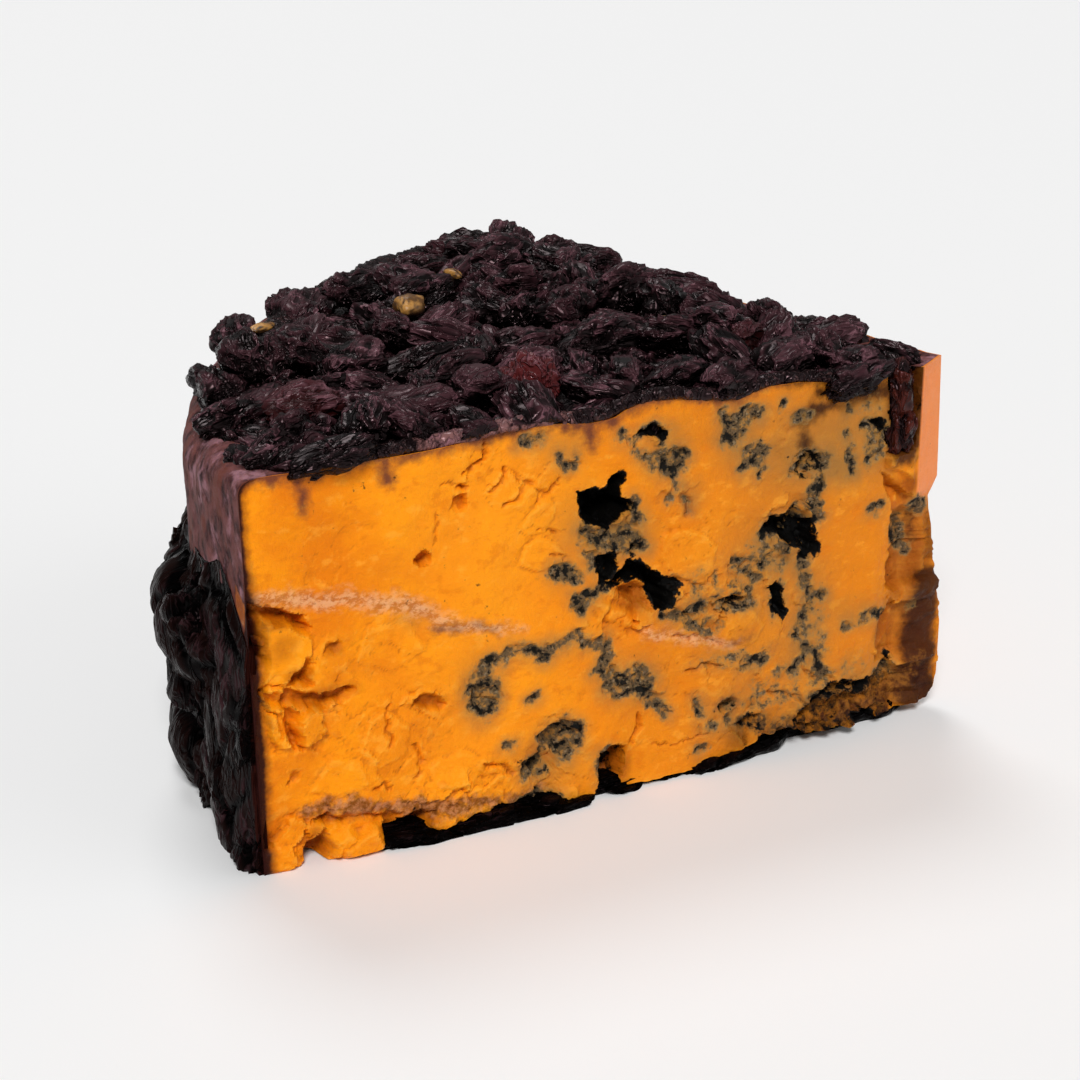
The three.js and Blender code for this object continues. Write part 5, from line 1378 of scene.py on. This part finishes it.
def side_cover(angle):
    """Height up to which fruit covers the rind: it rises steeply from the cut corner and waves."""
    degrees = np.degrees(angle)
    level = np.interp(degrees, [2.3, 3.5, 5.5, 7.5, 10, 15, 20, 25, 75],
                      [43, 47, 53, 57, 56, 54, 52, 51, 50])
    return level + 1.2 * np.sin(degrees / 2.6)


def side_bulge(angle, z):
    """How far the fruit stands off the rind: a thin layer with domes on it, each dome the square
    root of one minus its squared distance, fading out at the cut corner and the far end."""
    degrees = np.degrees(angle) + 1.6 * (noise(sheet(angle * 30, z / 9), 520) - 0.5)
    stand = 1.4 + 0 * degrees
    for centre, height, across, up, out in SIDE_MASSES:
        away = np.hypot((degrees - centre) / across, (z - height) / up)
        stand = np.maximum(stand, out * np.sqrt(np.clip(1 - away ** 2, 0, 1)))
    ends = ease(math.radians(1.5), math.radians(6), angle) * ease(0, 0.12, BACK_CORNER_ANGLE - angle)
    return stand * (0.5 + 0.5 * ends)


def side_spots():
    """Numbers, places, angles and scales of the side raisins, column by column round the rind."""
    steps = int((BACK_CORNER_ANGLE - CORNER_ANGLE) * WALL_RADIUS / SIDE_PITCH)
    column, row = np.meshgrid(np.arange(steps + 1), np.arange(len(SIDE_ROWS)), indexing="ij")
    index = (SIDE_FIRST + column * len(SIDE_ROWS) + row).ravel()
    along = (4 + column * SIDE_PITCH + (row % 2) * SIDE_PITCH * 0.4).ravel() + 4 * (draw(index, 1) - 0.5)
    angle = CORNER_ANGLE + along / WALL_RADIUS
    z = np.array(SIDE_ROWS)[row.ravel()] + 4 * (draw(index, 2) - 0.5)
    keep = (z < side_cover(angle) - 8) & (angle < BACK_CORNER_ANGLE - 0.02)
    plan = on_wheel(angle, rind_radius(angle, z) + side_bulge(angle, z) - 5)
    return columns(index, *plan.T, z, angle)[keep]


def outside_cheese(points):
    """Keeps points in front of neither the cut nor the floor, and at least as far out as the rind."""
    points[..., 1] = np.maximum(points[..., 1], 0.0)
    points[..., 2] = np.maximum(points[..., 2], 0.0)
    away = points[..., :2] - WHEEL
    reach = np.linalg.norm(away, axis=-1)
    angle = np.maximum(np.arctan2(away[..., 1], -away[..., 0]), CORNER_ANGLE + 0.004)
    reach = np.maximum(reach, rind_radius(angle, points[..., 2]) - 0.6)
    points[..., :2] = on_wheel(angle, reach)
    return points


spots = side_spots()
half = raisin_sizes(spots[:, 0], 1.16, 1)
roll = 0.54 * (draw(spots[:, 0], 15) - 0.5) + math.pi / 2
zero = 0 * roll
upright = turned(roll, zero, zero) @ turned(zero, zero, zero + math.pi / 2)
side_turns = turned(zero, zero, math.pi / 2 - spots[:, 4]) @ upright
side_skin = raisin_material("side_raisin_skin", "010101", "160907", "30100A", 0.03, 0.12)
side_out = columns(-np.cos(spots[:, 4]), np.sin(spots[:, 4]), 0)
cloud = raisin_cloud(spots, half, side_turns, ball(14), 1.0, outward=side_out)
cloud = (outside_cheese(cloud[0]), *cloud[1:])
add_raisins("side_raisins_row", cloud, "side_raisins", side_skin)


def side_skin_grid():
    """Pressed skin between the side raisins: a shell on the rind that follows the masses, with
    upright lumps the size of a raisin, folds along them and fine wrinkles."""
    run = np.linspace(0, 1, 300)
    angle = BACK_CORNER_ANGLE - 0.01 + (CORNER_ANGLE + 0.004 - BACK_CORNER_ANGLE + 0.01) * run
    inner_angle = np.linspace(CORNER_ANGLE + 0.004, BACK_CORNER_ANGLE - 0.01, 40)
    along = angle * WALL_RADIUS
    rows, folds, skins = [], [], []
    for share in np.linspace(0, 1, 96):
        z = share * (side_cover(angle) + 2 * noise(sheet(angle * 16, 0 * angle), 521))
        lump, border = chunks(along + 2 * noise(sheet(along / 6, z / 6), 522), z * 0.62, 9, 523)
        fold = ridged(layered(sheet(along / 4.5, z / 13), 3, 524))
        wrinkle = ridged(layered(sheet(along / 2.2, z / 7), 2, 525))
        lumpy = 2.0 * lump + 1.5 * ease(0, 3, border) + 0.9 * fold + 0.5 * wrinkle - 2.8
        stand = side_bulge(angle, z) * (1 - ease(0.9, 1, share)) + lumpy * ease(2.3, 7, np.degrees(angle))
        outer = on_wheel(angle, rind_radius(angle, np.maximum(z, FOOT_ROUNDING)) + np.maximum(stand, 0.15))
        inner = on_wheel(inner_angle, rind_radius(inner_angle, share * side_cover(inner_angle)) - 1.2)
        height = np.concatenate([z, share * side_cover(inner_angle)])
        rows.append(np.concatenate([np.concatenate([outer, inner]), height[:, None]], -1))
        # Painted shade: the fold is lowered near the borders between the lumps
        ridge = (0.6 * fold + 0.4 * wrinkle) * (0.25 + 0.75 * ease(0, 2.5, border))
        folds.append(np.concatenate([ridge, 0 * inner_angle]))
        skins.append(np.concatenate([sheet(z * 0.28, along), np.zeros((len(inner), 3))]))
    grid = np.stack(rows)
    grid[..., 1] = np.maximum(grid[..., 1], 0.05)
    return grid, np.stack(folds), np.stack(skins)


side_points, side_folds, side_skins = side_skin_grid()
points, faces = closed_tube(side_points)
at_cut = 1 - ease(0.6, 2.6, points[:, 1])
side_values = {"fold": side_folds, "tone": np.maximum(side_folds.ravel() * 0.4, at_cut),
               "skin": side_skins}
skin = add_piece("side_raisin_skin", points, faces, side_values, 180)
skin.data.materials.append(side_skin)
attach(skin, "root")
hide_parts("side_raisins")


# ---------------------------------------------------------------------------------------------
# The raisins under the foot. A pressed slab of fruit fills the recess in the underside and
# shows as a dark ragged line along the front and the back cut.
# ---------------------------------------------------------------------------------------------
BASE_PITCH = 14.0
BASE_FRONT_FIRST = 900
BASE_BACK_FIRST = 950
BASE_CORNERS = [
    (29, 0), (116, 0.5), (121, 5), (146, 4.5), (153.8, 9), (120, 132), (70, 118), (34, 84), (16, 50),
    (8, 24), (26, 23),
]


def base_spots():
    """Numbers and places of the base raisins along the front, where they stand out at the left
    and lie further back to the right, and along the back cut."""
    step = np.arange(12)
    index = BASE_FRONT_FIRST + step
    x = 31 + step * BASE_PITCH / 2 + 3 * (draw(index, 1) - 0.5)
    y = np.where(x < 68, 0.4, 4.6) + 1.2 * draw(index, 2)
    front = columns(index, x, y, 0.7)
    step = np.arange(int(BACK_REACH / BASE_PITCH))
    index = BASE_BACK_FIRST + step
    along = (8 + step * BASE_PITCH + 3 * (draw(index, 1) - 0.5)) / BACK_REACH
    place = TIP_BACK + (BACK_CORNER - TIP_BACK) * along[:, None]
    place[:, 0] -= 5.4 + 2 * draw(index, 3)
    return np.concatenate([front, columns(index, *place.T, 1.2)])


spots = base_spots()
base_skin = raisin_material("base_raisin_skin", "010101", "120807", "200E0A", 0.03, 0.1)
half = raisin_sizes(spots[:, 0], 0.9, 1) * np.array([1, 0.9, 0.55])
flat_turns = turned(0 * spots[:, 0], 0 * spots[:, 0], 0.9 * (draw(spots[:, 0], 14) - 0.5))
cloud = raisin_cloud(spots, half, flat_turns, ball(12))
cloud[0][..., 2] = np.maximum(cloud[0][..., 2], 0.0)
cloud[0][..., 1] = np.maximum(cloud[0][..., 1], -3.4 + 0.8 * noise(cloud[0] / 4, 601))
add_raisins("base_raisins_row", cloud, "base_raisins", base_skin)


def base_slab_grid():
    """The pressed slab: its outline run round at even steps, made lumpy, at four heights."""
    corners = np.array(BASE_CORNERS + BASE_CORNERS[:1], float)
    length = np.concatenate([[0], np.cumsum(np.linalg.norm(np.diff(corners, axis=0), axis=1))])
    at = np.linspace(0, length[-1], 420, endpoint=False)
    outline = np.stack([np.interp(at, length, corners[:, i]) for i in (0, 1)], -1)
    away = outline - np.array([90, 50])
    away = away / np.linalg.norm(away, axis=1, keepdims=True)
    rows = []
    for z, inset in ((0.0, 1.2), (1.2, 0.2), (2.4, 0.2), (3.4, 1.0)):
        lumps = layered(np.stack([outline[:, 0] / 3, outline[:, 1] / 3, 0 * at + z / 2], -1), 3, 600)
        plan = outline + away * (1.6 * (lumps - 0.4) - inset)[:, None]
        rows.append(np.concatenate([plan, np.full((len(plan), 1), z)], -1))
    return np.stack(rows)


points, faces = closed_tube(base_slab_grid())
fold = layered(points / 3, 3, 610)
slab_values = {"fold": fold * 0.6, "tone": fold * 0.5, "skin": points * np.array([0.4, 1, 1])}
slab = add_piece("base_raisin_slab", points, faces, slab_values, 180)
slab.data.materials.append(base_skin)
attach(slab, "root")
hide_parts("base_raisins")


# ---------------------------------------------------------------------------------------------
# The pair of raisins wedged in the slot at the tip, the upper one browner than the lower.
# ---------------------------------------------------------------------------------------------
spots = np.array([(41, 142.9, 3.4, 73.4), (42, 143.1, 3.4, 66.6)], float)
half = np.array([(5.6, 4.8, 3.8), (6.0, 4.8, 3.6)])
tip_turns = turned(np.array([0.2, -0.1]), np.array([-1.5, -1.45]), np.array([0.1, 0.0]))
tip_skin = raisin_material("tip_raisin_skin", "0C0404", "451A12", "5E341C", 0.2, 0.2)
cloud = raisin_cloud(spots, half, tip_turns, BALL, 0.8, 1.12, np.array([0.5, 0.3]), (0.5, -0.85, 0))
add_raisins("tip_raisin_pair", cloud, "tip_raisins", tip_skin)


# ---------------------------------------------------------------------------------------------
# The plain pale floor, soft studio light and the camera.
# ---------------------------------------------------------------------------------------------
CAMERA_AZIMUTH = math.radians(-28.08)
CAMERA_ELEVATION = math.radians(20.68)
CAMERA_DISTANCE = 575.3
CAMERA_TARGET = np.array([81.77, 40.0, 39.44])

floor_mesh = bpy.data.meshes.new("floor")
reach = 3.0
floor_corners = [(-reach, -reach, 0), (reach, -reach, 0), (reach, reach, 0), (-reach, reach, 0)]
floor_mesh.from_pydata(floor_corners, [], [(0, 1, 2, 3)])
floor = bpy.data.objects.new("floor", floor_mesh)
bpy.context.scene.collection.objects.link(floor)
floor_paint, floor_tree, floor_shader = new_material("pale_floor")
floor_shader.inputs["Base Color"].default_value = (0.9, 0.9, 0.9, 1)
floor_shader.inputs["Roughness"].default_value = 0.8
floor_mesh.materials.append(floor_paint)

world = bpy.data.worlds.new("studio")
world.use_nodes = True
world.node_tree.nodes["Background"].inputs["Color"].default_value = (1, 1, 1, 1)
world.node_tree.nodes["Background"].inputs["Strength"].default_value = 0.16
bpy.context.scene.world = world


def add_light(name, direction, strength, spread_angle):
    """A distant soft light that shines from a direction and looks as wide as the angle given."""
    lamp = bpy.data.lights.new(name, "SUN")
    lamp.energy = strength
    lamp.angle = math.radians(spread_angle)
    holder = bpy.data.objects.new(name, lamp)
    holder.rotation_euler = Vector(direction).to_track_quat("Z", "Y").to_euler()
    bpy.context.scene.collection.objects.link(holder)


add_light("key", (-0.42, -0.72, 0.8), 2.5, 18)
add_light("top", (0.1, 0.55, 0.85), 0.9, 25)
add_light("fill", (0.75, -0.6, 0.4), 0.45, 60)

camera_data = bpy.data.cameras.new("camera")
camera_data.sensor_width = 36
camera_data.lens = 93.3
camera_data.clip_start = 0.01
camera_data.clip_end = 20
camera = bpy.data.objects.new("camera", camera_data)
away = np.array([
    math.sin(CAMERA_AZIMUTH) * math.cos(CAMERA_ELEVATION),
    -math.cos(CAMERA_AZIMUTH) * math.cos(CAMERA_ELEVATION),
    math.sin(CAMERA_ELEVATION),
])
camera.location = (CAMERA_TARGET - SHIFT + away * CAMERA_DISTANCE) * MM
camera.rotation_euler = Vector(-away).to_track_quat("-Z", "Y").to_euler()
bpy.context.scene.collection.objects.link(camera)
bpy.context.scene.camera = camera
bpy.context.scene.view_settings.view_transform = "Standard"
